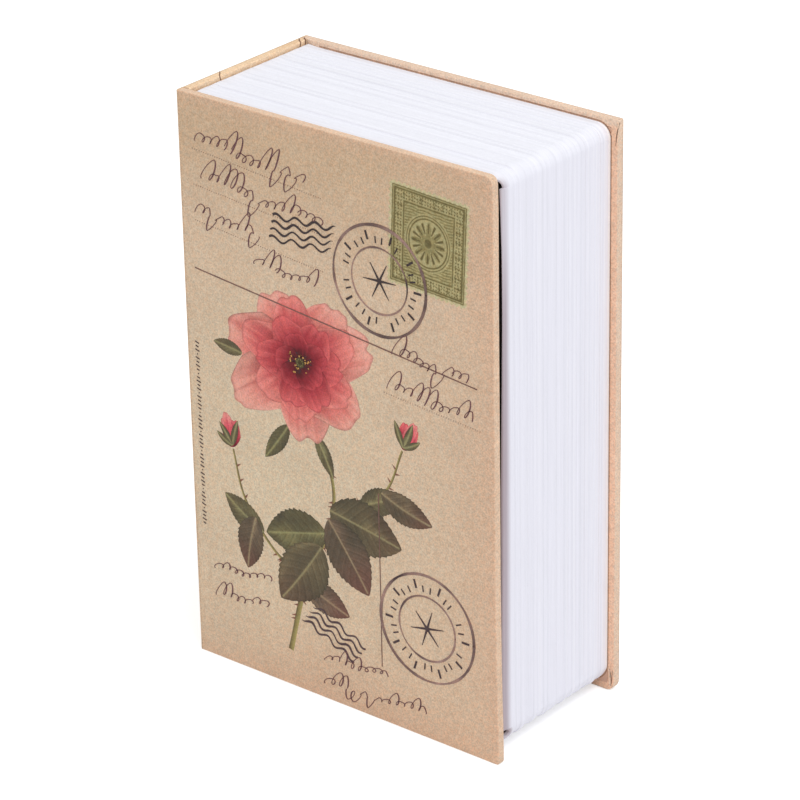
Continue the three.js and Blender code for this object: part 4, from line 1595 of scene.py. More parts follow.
@dataclass
class OrnamentPanel(PrintLayers):
    """An olive ornament panel with a perforated rim, leaf sprays in its frame and a star of rays."""

    centre: Pair = (33.5, 155.5)
    size: Pair = (28, 31)
    angle: float = -3
    tooth_pitch: float = 1.75
    tooth_radius: float = 0.5

    def draw(self) -> None:
        """Draws the panel on one fine grid.

        The rim's grid lines are pushed in by half discs at an even pitch. Inside it, the frame is a
        set of plain and scalloped lines, and the middle holds rays between two rings of leaves,
        all from the distance and the angle to the panel's middle.
        """
        count = 176
        share = np.linspace(-1, 1, count)
        s, t = np.meshgrid(share, share, indexing="ij")
        half_x, half_z = self.size[0] / 2, self.size[1] / 2
        x, z = s * half_x, t * half_z
        x = x - np.sign(s) * (self.bites(z) * np.abs(s) ** 24)
        z = z - np.sign(t) * (self.bites(s * half_x) * np.abs(t) ** 24)
        edge = np.minimum(half_x - np.abs(s * half_x), half_z - np.abs(t * half_z))
        pale, olive, dark = printed(186, 176, 138), printed(138, 128, 84), printed(84, 74, 44)
        radius = np.hypot(s * half_x, t * half_z * 0.94)
        angle = np.arctan2(t * half_z, s * half_x)
        ink = np.zeros_like(s)
        for place, width in ((1.25, 0.22), (2.0, 0.42), (5.3, 0.3)):
            ink = np.maximum(ink, ridge(edge - place, width))
        vine = edge - 3.7 - 0.75 * np.sin((x + z) * 2.1) * np.sign(s * t + 0.01)
        ink = np.maximum(ink, ridge(vine, 0.28))
        sprigs = np.sin((x - z) * 3.4) * np.sin((x + z) * 3.4)
        in_frame = (edge > 2.4) & (edge < 5.0)
        ink = np.where(in_frame, np.maximum(ink, smooth_step((sprigs - 0.15) / 0.5) * 0.9), ink)
        inside = edge > 5.6
        rays = smooth_step((np.cos(angle * 16) - 0.1) / 0.6) * smooth_step((radius - 2.4) / 0.5)
        rays = rays * (1 - smooth_step((radius - 5.4) / 0.5))
        petals = smooth_step((4.3 + 1.9 * np.cos(angle * 8 + 0.2) - radius) / 0.4) * 0.55
        ring = ridge(radius - 6.7, 0.26) + ridge(radius - 7.5, 0.18)
        hatch = 0.55 + 0.45 * np.cos(z * 7.5 + 0.8 * np.sin(x * 1.3))
        corners = smooth_step((radius - 7.9) / 0.4) * hatch * 0.75
        scroll = ridge(np.sin(radius * 2.6 - angle * 4), 0.3) * (radius > 7.9) * 0.7
        heart = smooth_step((1.6 - radius) / 0.5)
        middle = np.clip(np.maximum.reduce([rays, petals, ring, corners, scroll, heart]), 0, 1)
        ink = np.where(inside, np.maximum(ink, middle), ink)
        ink = np.clip(ink + 0.22 * layered_noise(x, z, 1.1, 71, 3), 0, 1)
        paper = blended(pale, printed(160, 150, 106), smooth_step((edge - 1.2) / 0.8) * 0.8)
        colours = blended(blended(paper, olive, ink * 1.5), dark, (ink - 0.45) * 1.5)
        colours = colours * (1 + 0.08 * layered_noise(x, z, 5, 77, 2))[..., None]
        turned_x, turned_z = turned(x, z, self.centre, self.angle)
        self.lay(turned_x, turned_z, np.clip(colours, 0.01, 0.9), 1)

    def bites(self, run: Array) -> Array:
        """How deep the perforation runs in at each place along the rim: half discs at an even pitch."""
        away = ((run / self.tooth_pitch) % 1 - 0.5) * self.tooth_pitch / self.tooth_radius
        return np.sqrt(np.clip(1 - away**2, 0, 1)) * self.tooth_radius


@dataclass
class CancelMark(PrintLayers):
    """Worn ink marks: double rings with ticks and a small star, and bundles of wavy lines."""

    def ring(self, centre: Pair, radius: float, width: float, seed: int, ink: Array) -> None:
        """Draws one ring whose line thins where the ink is worn.

        Args:
            centre: Its middle.
            radius: Its radius.
            width: Its line's width.
            seed: The draw of the wear.
            ink: The ink's colour.
        """
        angle = np.linspace(0, FULL_TURN, 161)
        worn = 1 + 0.8 * layered_noise(np.cos(angle) * 2, np.sin(angle) * 2, 0.8, seed, 4)
        path = np.stack([centre[0] + radius * np.cos(angle), centre[1] + radius * np.sin(angle)], axis=1)
        patches = layered_noise(path[:, 0], path[:, 1], 7, seed + 4)
        faded = blended(ink, printed(158, 128, 118), 0.5 + 0.9 * patches)
        outward = (path - np.asarray(centre)) / radius
        self.band(path, outward * (width * worn / 2)[:, None], faded, 18)

    def mark(self, centre: Pair, radius: float, seed: int, ink: Array) -> None:
        """Draws two rings, ticks of two lengths between them and a star in the middle.

        Args:
            centre: The rings' middle.
            radius: The outer ring's radius.
            seed: The draw of the wear.
            ink: The ink's colour.
        """
        self.ring(centre, radius, 0.85, seed, ink)
        self.ring(centre, radius * 0.6, 0.5, seed + 1, ink)
        draw = np.random.default_rng(seed)
        ticks = 30
        for index in range(ticks):
            angle = 360 / ticks * index + draw.uniform(-1.5, 1.5)
            inner = radius * (0.68 if index % 3 else 0.74)
            outer = radius * (0.8 if index % 3 else 0.9)
            if draw.uniform() < 0.14:
                continue
            reach = np.linspace(inner, outer, 5)
            path = np.stack(turned(reach, np.zeros(5), centre, angle), axis=1)
            self.stroke(path, np.full(5, 0.42 if index % 3 else 0.66), ink, 18, index)
        share = np.linspace(-1, 1, 9)
        for index in range(3):
            ray = np.linspace(-radius * 0.36, radius * 0.36, 9)
            path = np.stack(turned(ray, np.zeros(9), centre, 60 * index + seed), axis=1)
            self.stroke(path, 0.16 + 0.62 * (1 - np.abs(share)), ink, 18.4 + index / 4, index)

    def waves(self, start: Pair, angle: float, length: float, lines: int, ink: Array) -> None:
        """Draws a bundle of equal sine lines, each a line's gap above the last.

        Args:
            start: Where the lowest line starts.
            angle: The way they run, in degrees.
            length: How long they are.
            lines: How many there are.
            ink: The ink's colour.
        """
        run = np.linspace(0, length, 110)
        for index in range(lines):
            swing = 0.85 * np.sin(run / length * FULL_TURN * 3.2 + 0.5)
            x, z = turned(run + index * 0.7, swing + index * 2.3, start, angle)
            worn = 1 + 0.6 * layered_noise(x, z, 4, 20 + index, 2)
            width = 0.62 * worn * (1 - smooth_step((run - length * 0.9) / length * 8))
            self.stroke(np.stack([x, z], axis=1), np.maximum(width, 0.08), ink, 17.2 + index / 8, index)

    def draw(self) -> None:
        """Draws both marks and their lines."""
        ink = printed(56, 46, 46)
        self.mark((16, 140), 16.5, 3, ink)
        self.waves((-24, 143), 4, 23, 4, ink)
        self.mark((31, 36), 17, 12, printed(66, 52, 54))
        self.waves((8, 22), 158, 21, 4, printed(76, 60, 62))


@dataclass
class PenWork(PrintLayers):
    """Looped pen flourishes, ruled and dotted lines, and rows of small ornaments."""

    def flourish(self, start: Pair, angle: float, length: float, height: float, seed: int) -> None:
        """Draws a run of pen loops that stands for no letters.

        Args:
            start: Where it starts.
            angle: The way it runs, in degrees.
            length: How long it is.
            height: How tall its tallest loops are.
            seed: The draw of its loops.

        A point runs along the line while it circles; the circle's height changes from loop to loop,
        all of it leans forward, and the pen is broader on its way down.
        """
        draw = np.random.default_rng(seed)
        loops = max(int(length / 2.6), 3)
        loop_points = 26
        count = loops * loop_points
        t = np.linspace(0, 1, count)
        phase = FULL_TURN * loops * t
        heights = draw.choice([0.28, 0.34, 0.42, 0.9, 0.3, 1.0, -0.75], loops + 2)
        wander = np.interp(t * loops, np.arange(loops + 2) - 0.5, heights)
        spread = np.interp(t * loops, np.arange(loops + 2), draw.uniform(0.4, 1.15, loops + 2))
        step = length / loops
        up = height * wander * (0.5 - 0.5 * np.cos(phase)) + 0.12 * height * np.sin(t * 9)
        along = length * t - step * 0.42 * spread * np.sin(phase) + 0.45 * up
        path = np.stack(turned(along, up, start, angle), axis=1)
        falling = np.clip(-np.gradient(up) / (np.abs(np.gradient(up)).max() + 1e-9), 0, 1)
        width = 0.2 + 0.26 * falling
        cuts = []
        if loops > 6:
            cuts = sorted(draw.choice(np.arange(2, loops - 1), loops // 7, replace=False))
        edges = [0, *[int(cut) * loop_points for cut in cuts], count]
        for index, (first, last) in enumerate(zip(edges, edges[1:])):
            part = slice(first + (4 if index else 0), last)
            self.stroke(path[part], width[part], printed(98, 66, 70), 19 + index / 4, seed + index)

    def rule(self, start: Pair, end: Pair, width: float) -> None:
        """Draws a thin ruled line.

        Args:
            start: Its first end.
            end: Its other end.
            width: Its width.
        """
        path = between(start, end, np.linspace(0, 1, 60))
        worn = width * (1 + 0.4 * layered_noise(path[:, 0], path[:, 1], 3, 51, 2))
        self.stroke(path, worn, printed(112, 84, 76), 17, 5)

    def dotted(self, start: Pair, end: Pair, pitch: float, radius: float) -> None:
        """Draws a dotted line.

        Args:
            start: Its first end.
            end: Its other end.
            pitch: The distance from dot to dot.
            radius: The dots' radius.
        """
        length = math.dist(start, end)
        places = between(start, end, np.arange(0, length, pitch) / length)
        self.dots(places, radius, printed(128, 98, 88), 17)

    def ornaments(self, start: Pair, end: Pair, pitch: float) -> None:
        """Draws a row of small slanted dashes with a dot after every fourth.

        Args:
            start: The row's first end.
            end: Its other end.
            pitch: The distance from dash to dash.
        """
        length = math.dist(start, end)
        places = np.arange(0, length, pitch)
        lean = (np.asarray(end) - np.asarray(start)) / length
        across = np.array([-lean[1], lean[0]])
        for index, place in enumerate(places):
            middle = np.asarray(start) + lean * place
            if index % 5 == 4:
                self.dots(middle[None, :], 0.2, printed(70, 54, 52), 17)
                continue
            reach = 0.75 if index % 2 else 0.5
            path = middle + np.linspace(-1, 1, 4)[:, None] * (across + lean * 0.3) * reach
            self.stroke(path, np.full(4, 0.34), printed(70, 54, 52), 17, index)

    def draw(self) -> None:
        """Draws the flourishes, the rules and the ornaments."""
        lines = (
            ((-51, 166), -5, 40, 7.5, 2), ((-49, 155), -5, 44, 7, 5), ((-52, 144), -5, 24, 6.5, 8),
            ((-30, 133.5), -4, 22, 6, 11), ((20, 119), -4, 26, 7, 14), ((18, 108), -4, 30, 6.5, 17),
            ((-50, 30), 6, 22, 5, 23), ((-50, 21), 6, 20, 5, 26), ((-8, 13), 5, 24, 5, 29),
            ((-8, 5), 4, 38, 4.6, 35),
        )
        for start, angle, length, height, seed in lines:
            self.flourish(start, angle, length, height, seed)
        self.rule((-53, 126.5), (50, 116.5), 0.34)
        self.rule((14, 74), (14, 18), 0.3)
        for shift in (0, 11, 22):
            self.dotted((-52, 163.5 - shift), (-4, 159.5 - shift), 0.85, 0.13)
        self.dotted((17, 106.5), (51, 104), 0.85, 0.13)
        self.ornaments((-53.5, 44), (-53.5, 104), 1.25)


# Seams and folds of the case


@dataclass
class FoldLines:
    """Thin dark lines of painted shade where the case's paper ends or folds under, and a painted
    contact shadow where it touches the page block.
    """

    # Painted shade: the two dark tones of the lines along the seams, tucks and folds.
    ink: Colour = (0.2, 0.1, 0.06)
    soft_fold_shade: Colour = (0.36, 0.19, 0.12)
    # Painted shadow: the tone of the contact line where the page block stands on the back cover.
    contact_shadow_ink: Colour = (0.47, 0.27, 0.18)
    pale_ink: Colour = (0.93, 0.66, 0.5)
    lift: float = 0.03
    root: float = 0.05
    inner_end: float = 178.4
    surface: Surface = field(default_factory=Surface)

    def line(
        self, controls: Sequence[Triple], normals: Sequence[Triple], widths: Sequence[float], ink: Colour,
        count: int = 30,
    ) -> None:
        """Lays one closed ribbon along a path on a surface.

        Args:
            controls: The points that it runs through.
            normals: The surface's outward normal at each of them.
            widths: The line's width at each of them.
            ink: Its colour.
            count: How many points it has.

        Its section is a flat four-sided ring: two corners above the surface and two below it.
        """
        path = spline(controls, count)
        place = np.linspace(0, len(controls) - 1, count)
        knots = np.arange(len(controls))
        normals = np.asarray(normals, float)
        normal = np.stack([np.interp(place, knots, normals[:, axis]) for axis in range(3)], axis=1)
        normal = normal / np.linalg.norm(normal, axis=1, keepdims=True)
        width = np.interp(place, knots, widths)[:, None]
        side = np.cross(normal, np.gradient(path, axis=0))
        side = side / np.linalg.norm(side, axis=1, keepdims=True)
        above, below = path + normal * self.lift, path - normal * self.root
        half = side * width / 2
        points = np.stack([above - half, above + half, below + half, below - half], axis=1)
        uneven = 1 + 0.25 * layered_noise(path[:, 2], path[:, 0], 1.3, 4)
        colours = np.asarray(ink) * uneven[:, None, None] * np.ones((1, 4, 1))
        self.surface.grid(points, close_columns=True, colours=colours)
        for end in (0, -1):
            cap = points[end][[0, 1, 3, 2]].reshape(2, 2, 3)
            self.surface.grid(cap, colours=colours[end].reshape(2, 2, 3))

    def over_edge(self, above: Sequence[Pair], below: Sequence[float], top: float, width: float) -> None:
        """Draws a line over the spine's top edge, round its inner fold and a little way down.

        Args:
            above: The X and Y of its points on the top edge, the last one where the fold starts.
            below: Its Y where it leaves the fold and where it ends.
            top: The top edge's height.
            width: The line's width.
        """
        fold = CasePaper().fold_radius
        bend, inner = fold * (1 - math.sqrt(0.5)), above[-1][0] + fold
        middle = (above[-1][1] + below[0]) / 2
        controls = [(x, y, top) for x, y in above]
        controls += [(inner - bend, middle, top - bend), (inner, below[0], top - fold)]
        controls += [(inner, below[1], self.inner_end)]
        normals = [(0, 0, 1)] * (len(above) - 1) + [(0.1, 0, 1), (1, 0, 1), (1, 0, 0.1), (1, 0, 0)]
        self.line(controls, normals, [0.6 * width] + [width] * (len(controls) - 1), self.ink, 50)

    def spine_seam(self, top: float) -> None:
        """Draws the seam as a dark line of painted shade over the spine's top edge and down its inside."""
        self.over_edge([(-57.3, -9.9), (-56.2, -11.0), (-55.1, -12.4)], (-12.7, -12.3), top, 0.34)

    def back_corner(self, top: float) -> None:
        """Draws the tucks as dark lines of painted shade where the spine's top edge meets the back
        cover's.
        """
        self.over_edge([(-56.9, 24.7), (-56.0, 23.6), (-55.1, 22.9)], (22.7, 22.4), top, 0.44)
        self.over_edge([(-56.4, 26.3), (-55.7, 25.6), (-55.1, 25.2)], (25.0, 24.8), top, 0.5)

    def bottom_corner(self) -> None:
        """Draws the back cover's worn bottom corner: a pale fold with two dark lines of painted shade
        beside it.
        """
        y = HEM_PLANE
        toward = [(0, -1, 0)] * 3
        self.line([(55.1, y, 9.8), (55.9, y, 6.0), (56.0, y, 1.6)], toward, (0.2, 0.7, 0.5), self.pale_ink)
        self.line([(55.5, y, 8.2), (56.35, y, 5.2), (56.4, y, 1.8)], toward, (0.1, 0.3, 0.25), self.soft_fold_shade)
        rim = [(56.9, y, 7.2), (56.75, y, 4.6), (56.6, y, 2.6)]
        self.line(rim, toward, (0.12, 0.25, 0.15), self.soft_fold_shade)

    def fore_corner(self, top: float) -> None:
        """Draws the back cover's mitred corner: a tapering fold line and a short diagonal, both
        painted shade.

        Args:
            top: The top edge's height.
        """
        y = HEM_PLANE
        fold = [(57.44, 26.6, 179.2), (57.36, 25.84, 177.4), (57.05, y, 175.2), (56.75, y, 172.4)]
        normals = [(1, 0, 0), (0.75, -0.66, 0), (0, -1, 0), (0, -1, 0)]
        self.line(fold, normals, (0.4, 0.24, 0.32, 0.12), self.ink)
        self.line([(56.95, 26.2, top), (57.05, 27.1, top)], [(0, 0, 1)] * 2, (0.16, 0.1), self.soft_fold_shade, 8)

    def contact_shadow(self, block: "PageBlock") -> None:
        """Draws a painted contact shadow: a dark line where the page block stands on the back cover,
        round its outline.

        Args:
            block: The page block.
        """
        x, z, normal_x, normal_z = block.outline()
        keep = slice(26, len(x) - 1, 3)
        gap = 0.02
        path = placed(x + normal_x * gap, HEM_PLANE - gap, z + normal_z * gap)[keep]
        count = len(path)
        self.line(path, [(0, -1, 0)] * count, [0.36] * count, self.contact_shadow_ink, count * 2)

    def build(self, material: Material, top: float, block: "PageBlock") -> None:
        """Makes all lines as one piece of the book.

        Args:
            material: The printed paper.
            top: The height of the case's top edges.
            block: The page block that the painted contact shadow follows.
        """
        self.spine_seam(top)
        self.back_corner(top)
        self.fore_corner(top)
        self.bottom_corner()
        self.contact_shadow(block)
        piece = make_piece("case_fold_lines", self.surface, material)
        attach(piece, Body.BOOK.value)


# The page block


@dataclass
class PageBlock:
    """The white moulding that looks like a block of pages."""

    x_range: Pair = (-54.2, 55.2)
    y_range: Pair = (-23.1, 25.6)
    z_range: Pair = (2.3, 178.7)
    top_radius: float = 4.5
    bottom_radius: float = 6.5
    wall: float = 1.5
    rib_depth: float = 0.6
    bundle_step: float = 0.5
    bundle_groove: Pair = (0.1, 0.32)
    page_depth: float = 0.09
    page_step: float = 0.25
    page_slit: Pair = (0.035, 0.14)
    wave_depth: float = 0.05
    lip_depth: float = 2.8
    lip_heights: tuple[float, ...] = (6, 30, 60, 85, 110, 135, 155, 165, 172, 176)
    lip_insets: tuple[float, ...] = (0.8, 0.9, 1.05, 1.3, 0.85, 0.4, 0.42, 0.72, 1.0, 1.1)
    lip_edge: float = 0.1
    foot_edge: float = 0.3
    foot_height: float = 14
    foot_fade: float = 4
    row_pitch: float = 0.115
    notch_depth: float = 1.3
    bottom_notch_depth: float = 3.2
    notch_reach: float = 6
    notch_width: float = 4
    top_notch: Pair = (174.9, 177.7)
    bottom_notch: Pair = (5.0, 8.8)
    forward_heights: tuple[float, ...] = (10, 30, 60, 90)
    forward_runs: tuple[float, ...] = (1.2, 1.0, 0.4, 0)
    scallops: tuple[float, ...] = (-23.1, -18.5, -12.9, -6.2, -1.4, 2.4, 7.6, 11, 15, 17.4, 21.4, 25.6)
    scallop_depth: float = 1.0
    tone: Colour = (0.872, 0.872, 0.966)
    # Painted light: the top faces have a tone of their own, set apart from the fore face's by how the light
    # falls.
    lit_top_tone: Colour = (0.875, 0.88, 0.95)
    lip_shade: Colour = (0.44, 0.515, 0.51)
    # Painted shade: how much darker the grooves between bundles are.
    groove_shade_share: float = 0.05
    page_share: float = 0.02
    # Painted light: how much paler the sides are towards the back.
    back_light_share: float = 0.08
    bundle_edges: tuple[float, ...] = (
        -18.4, -16.0, -12.6, -10.2, -8.3, -5.2, -3.5, 0.6, 4.5, 6.3, 8.3, 10.2, 12.1, 14.1, 16.2, 18.5, 21.1,
        22.4, 24.3,
    )
    bundle_shares: tuple[float, ...] = (
        0.2, 0.9, 0.1, 0.7, 0.4, 0.9, 0.5, 0.0, 0.7, 0.3, 0.8, 0.4, 0.7, 0.3, 0.8, 0.4, 0.1, 0.6, 0.3, 0.5,
    )

    def outline(self) -> tuple[Array, ...]:
        """The block's outline in X and Z, from the spine's bottom corner round to its top corner.

        Returns:
            The outline's X and Z and its outward normal's X and Z. Straight runs are sampled
            coarsely and corners finely, and the top notch's lower end twice, so that it is steep.
        """
        bottom, top = self.bottom_radius, self.top_radius
        fore = self.x_range[1]
        low, high = self.z_range
        run_bottom = np.linspace(self.x_range[0], fore - bottom, 27)
        run_top = np.linspace(fore - top, self.x_range[0], 27)
        angle_bottom = np.linspace(-QUARTER_TURN, 0, 41)[1:-1]
        angle_top = np.linspace(0, QUARTER_TURN, 37)[1:-1]
        step_angle = math.asin((self.top_notch[0] - high + top) / top)
        angle_top = np.unique(np.concatenate([angle_top, [step_angle, step_angle - 0.012]]))
        run_fore = np.linspace(low + bottom, high - top, 42)
        arcs = []
        for radius, middle, angle in ((bottom, low + bottom, angle_bottom), (top, high - top, angle_top)):
            sine, cosine = np.sin(angle), np.cos(angle)
            arcs.append((fore - radius + radius * cosine, middle + radius * sine, cosine, sine))
        straight = (run_bottom, low, 0, -1), (fore, run_fore, 1, 0), (run_top, high, 0, 1)
        return joined(straight[0], arcs[0], straight[1], arcs[1], straight[2])

    def rib_inset(self, y: Array) -> Array:
        """How far the bundles and the single pages lie behind the outline, for each Y.

        Args:
            y: Places along the block's depth.

        Returns:
            The bundles' levels joined by smooth steps, with a soft groove at each joint, and a finer
            set of levels for groups of pages, drawn from a fixed seed.
        """
        edges = np.asarray(self.bundle_edges)
        levels = np.asarray(self.bundle_shares) * self.rib_depth
        steps = smooth_step((y[:, None] - edges) / self.bundle_step + 0.5)
        bundles = levels[0] + steps @ np.diff(levels)
        groove_depth, groove_width = self.bundle_groove
        grooves = groove_depth * ridge(y[:, None] - edges, groove_width).sum(axis=1)
        draw = np.random.default_rng(11)
        pages = np.cumsum(draw.uniform(0.55, 1.35, 60)) + self.y_range[0]
        page_levels = draw.uniform(0, self.page_depth, 61)
        page_steps = smooth_step((y[:, None] - pages) / self.page_step + 0.5)
        leaves = page_levels[0] + page_steps @ np.diff(page_levels)
        slit_depth, slit_width = self.page_slit
        slits = slit_depth * ridge(y[:, None] - pages, slit_width).sum(axis=1)
        return bundles + grooves + leaves + slits

    def shape(self) -> Surface:
        """The moulding's surface: one closed tube wall.

        Returns:
            A grid that closes on itself both ways. Its columns follow the outline; its rows run from
            the back to the front along the outside, over the rounded lip and back along the inside.
            The lip is a quarter ellipse, and inside it the wall thins to an edge. The ribs are
            shallower on the fore face, and a notch pushes the rows near the rim back.
        """
        x, z, normal_x, normal_z = self.outline()
        front, back = self.y_range
        count = int((back - front) / self.row_pitch)
        y = np.linspace(back, front, count)
        near = np.clip(1 - (y - front) / self.lip_depth, 0, 1)
        lip = self.lip_inset(z)[:, None] * (1 - np.sqrt(1 - near**2))[None, :]
        strength = 1 - 0.72 * np.abs(normal_x) ** 2
        strength = strength * np.where(normal_z > 0.5, 0.8, 1.0)
        ribs = self.rib_inset(y)[None, :] * strength[:, None] * (1 - 0.7 * near)[None, :]
        wave = self.wave_depth * layered_noise(x[:, None] + z[:, None], y[None, :] * 6, 23, 3)
        ribs = ribs + self.scallop_inset(y)[None, :] * np.clip(-normal_z, 0, 1)[:, None] ** 2
        inset = np.maximum(ribs + lip + wave, 0) * self.wrapped_share(x)[:, None]
        at_fore = x > self.x_range[1] - self.notch_width
        forward = np.interp(z, self.forward_heights, self.forward_runs) * at_fore
        notch = (self.notch(x, z) - forward)[:, None]
        outer = self.offset(x, z, normal_x, normal_z, inset, y)
        outer[..., 1] += notch * self.notch_share(y)
        inner_y = np.linspace(front, back, 40)
        thin = np.clip(1 - (inner_y - front) / self.lip_depth, 0, 1) ** 2
        foot = self.foot_edge * smooth_step((self.foot_height - z[:, None]) / self.foot_fade)
        edge = np.minimum(inset[:, -1:] + self.lip_edge + foot, self.wall)
        inner_inset = self.wall + (edge - self.wall) * thin
        inner = self.offset(x, z, normal_x, normal_z, inner_inset, inner_y)
        inner[..., 1] += notch * self.notch_share(inner_y)
        surface = Surface(PAGES)
        outside = self.page_tones(outer, normal_x, normal_z, y)
        inside = np.broadcast_to(np.asarray(self.tone), inner.shape)
        surface.grid(
            np.concatenate([outer, inner], axis=1),
            close_rows=True,
            close_columns=True,
            colours=np.concatenate([outside, inside], axis=1),
        )
        return surface

    def scallop_inset(self, y: Array) -> Array:
        """The bottom's rounded teeth: in each, the inset falls to 0 at two thirds, then rises fast.

        Args:
            y: Places along the block's depth.

        Returns:
            The inset at each place.
        """
        fall, rise = 0.66, 0.34
        starts = np.asarray(self.scallops)
        tooth = np.clip(np.searchsorted(starts, y, side="right") - 1, 0, len(starts) - 2)
        share = (y - starts[tooth]) / (starts[tooth + 1] - starts[tooth])
        inset = np.where(share < fall, (1 - share / fall) ** 1.3, ((share - fall) / rise) ** 2)
        return self.scallop_depth * inset

    def lip_inset(self, z: Array) -> Array:
        """How far the lip's edge lies inside the outline at each height."""
        return np.interp(z, self.lip_heights, self.lip_insets)

    def page_tones(self, places: Array, normal_x: Array, normal_z: Array, y: Array) -> Array:
        """The outside's colours.

        Args:
            places: The outside's points, columns by rows by three.
            normal_x: The outline's outward normal's X.
            normal_z: Its Z.
            y: The rows' places along Y.

        Returns:
            A linear colour for each point: the tone, with painted light that gives the top faces a tone
            of their own, painted shade in the grooves between bundles, uneven from page to page, painted
            shade on the lip at the fore face, and painted light that makes the sides a little paler
            towards the back.
        """
        edges = np.asarray(self.bundle_edges)
        grooves = ridge(y[:, None] - edges, 0.3).sum(axis=1)
        draw = np.random.default_rng(17)
        pages = np.cumsum(draw.uniform(0.35, 0.8, 110)) + self.y_range[0]
        tones = draw.uniform(-1, 1, 111)
        leaves = tones[0] + smooth_step((y[:, None] - pages) / 0.22 + 0.5) @ np.diff(tones)
        bundles = np.interp(y, edges, draw.uniform(-1, 1, len(edges)))
        length = places[..., 0] + places[..., 2]
        drift = 1 + 0.5 * layered_noise(length, places[..., 1] * 4, 31, 19, 2)
        # Painted shade darkens the grooves between bundles; the page-to-page unevenness is the tone's own.
        light = 1 - self.groove_shade_share * grooves * drift + self.page_share * leaves * drift
        light = light + 0.5 * self.page_share * bundles
        # Painted light: the sides grow paler over their last few millimetres towards the back.
        back = self.back_light_share * smooth_step((y - self.y_range[1] + 3.4) / 3)
        light = light + np.abs(normal_x)[:, None] * back[None, :]
        lip = 1 - smooth_step((y - self.y_range[0] - 0.9) / 2.3)
        low_share = 0.55 + 0.45 * smooth_step((166 - places[:, 0, 2]) / 30)
        lip = lip[None, :] * (np.abs(normal_x) ** 3 * low_share)[:, None]
        shade = 1 - lip[..., None] * np.asarray(self.lip_shade)
        # Painted light: faces turned up take the top faces' own tone.
        base = blended(self.tone, self.lit_top_tone, np.clip(normal_z, 0, 1))
        return np.clip(base[:, None, :] * light[..., None] * shade, 0, 0.97)

    def wrapped_share(self, x: Array) -> Array:
        """The ribs' share of their depth: it falls to 0.15 over the last 2 mm before the spine."""
        return 0.15 + 0.85 * smooth_step((x - self.x_range[0]) / 2)

    def notch(self, x: Array, z: Array) -> Array:
        """How far the rim is pushed back at each point of the outline.

        Args:
            x: The outline's X.
            z: Its Z.

        Returns:
            In the top notch a quarter ellipse, deepest at its lower end; in the bottom one a half
            ellipse; elsewhere 0.
        """
        low, high = self.top_notch
        top = np.sqrt(np.clip(1 - ((z - low) / (high - low)) ** 2, 0, 1)) * (z >= low - SAME_PLACE)
        middle = sum(self.bottom_notch) / 2
        half = (self.bottom_notch[1] - self.bottom_notch[0]) / 2
        bottom = np.sqrt(np.clip(1 - ((z - middle) / half) ** 2, 0, 1))
        depth = np.maximum(self.notch_depth * top, self.bottom_notch_depth * bottom)
        return depth * (x > self.x_range[1] - self.notch_width)

    def notch_share(self, y: Array) -> Array:
        """The share of a notch's depth that each row moves: all at the rim, none far behind it."""
        return np.clip(1 - (y - self.y_range[0]) / self.notch_reach, 0, 1) ** 2

    def offset(self, x: Array, z: Array, normal_x: Array, normal_z: Array, inset: Array, y: Array) -> Array:
        """Sets the outline in by each point's inset, at each Y.

        Args:
            x: The outline's X.
            z: Its Z.
            normal_x: Its outward normal's X.
            normal_z: The normal's Z.
            inset: Outline points by rows.
            y: The rows' places along Y.

        Returns:
            Outline points by rows by three coordinates. At the spine's two corners the inset also
            runs along the spine wall, so that the wall keeps its thickness.
        """
        at_spine = (x <= self.x_range[0] + SAME_PLACE)[:, None]
        spine_shift = np.where(at_spine & (inset >= 0.5 * self.wall), inset, 0.0)
        full_x = x[:, None] - normal_x[:, None] * inset + spine_shift
        return placed(full_x, y, z[:, None] - normal_z[:, None] * inset)

    def build(self, material: Material) -> None:
        """Makes the moulding in place of its node.

        Args:
            material: The white plastic.
        """
        piece = make_piece("page_block_moulding", self.shape(), material, 40)
        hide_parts("page_block_shell")
        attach(piece, Body.BOOK.value)


# The pieces that keep their solid's shape


@dataclass
class KeptPieces:
    """The nodes whose own shape is shown, each with its slot's finish."""

    finishes: dict[Slot, Material]

    def dress(self, frame: dict[str, Any], hidden: Sequence[str]) -> None:
        """Gives each shown node its finish.

        Args:
            frame: What the frame's load gave.
            hidden: The nodes that a new piece stands for.
        """
        for row in frame["record"]["subparts"]:
            if row["node"] in hidden:
                continue
            node = frame["nodes"][row["node"]]
            node.data.materials.clear()
            node.data.materials.append(self.finishes[Slot(row["material_slot"])])
            LOG.info("%s: %s", row["node"], row["material_slot"])


def plain_finishes() -> dict[Slot, Material]:
    """The finish of every slot.

    Returns:
        One material for each slot of the record.
    """
    return {
        Slot.PRINTED_PAPER: PrintedPaper("printed_paper").material(),
        Slot.GREY_BOARD: RawBoard("grey_board", (0.3, 0.27, 0.22), (0.16, 0.13, 0.1)).material(),
        Slot.LINING_PAPER: PlainPaper("lining_paper", (0.76, 0.47, 0.34)).material(),
        Slot.WHITE_PLASTIC: MouldedPlastic("white_plastic").material(),
        Slot.BLACK_STEEL: PowderCoat("black_steel", (0.021, 0.016, 0.0145), (0.04, 0.035, 0.033)).material(),
        Slot.ZINC_STEEL: PlatedSteel(
            "zinc_steel", (0.58, 0.58, 0.6), (0.45, 0.46, 0.5), (0.26, 0.4)
        ).material(),
        Slot.CHROME: PolishedMetal("chrome", (0.68, 0.69, 0.71), (0.56, 0.57, 0.6), (0.08, 0.2)).material(),
        Slot.BRASS: PolishedMetal("brass", (0.66, 0.46, 0.17), (0.5, 0.33, 0.12), (0.2, 0.34)).material(),
    }


def millimetres(corner: Vector) -> Triple:
    """A corner of a node's box in millimetres."""
    return tuple(round(part / MM, 3) for part in corner)


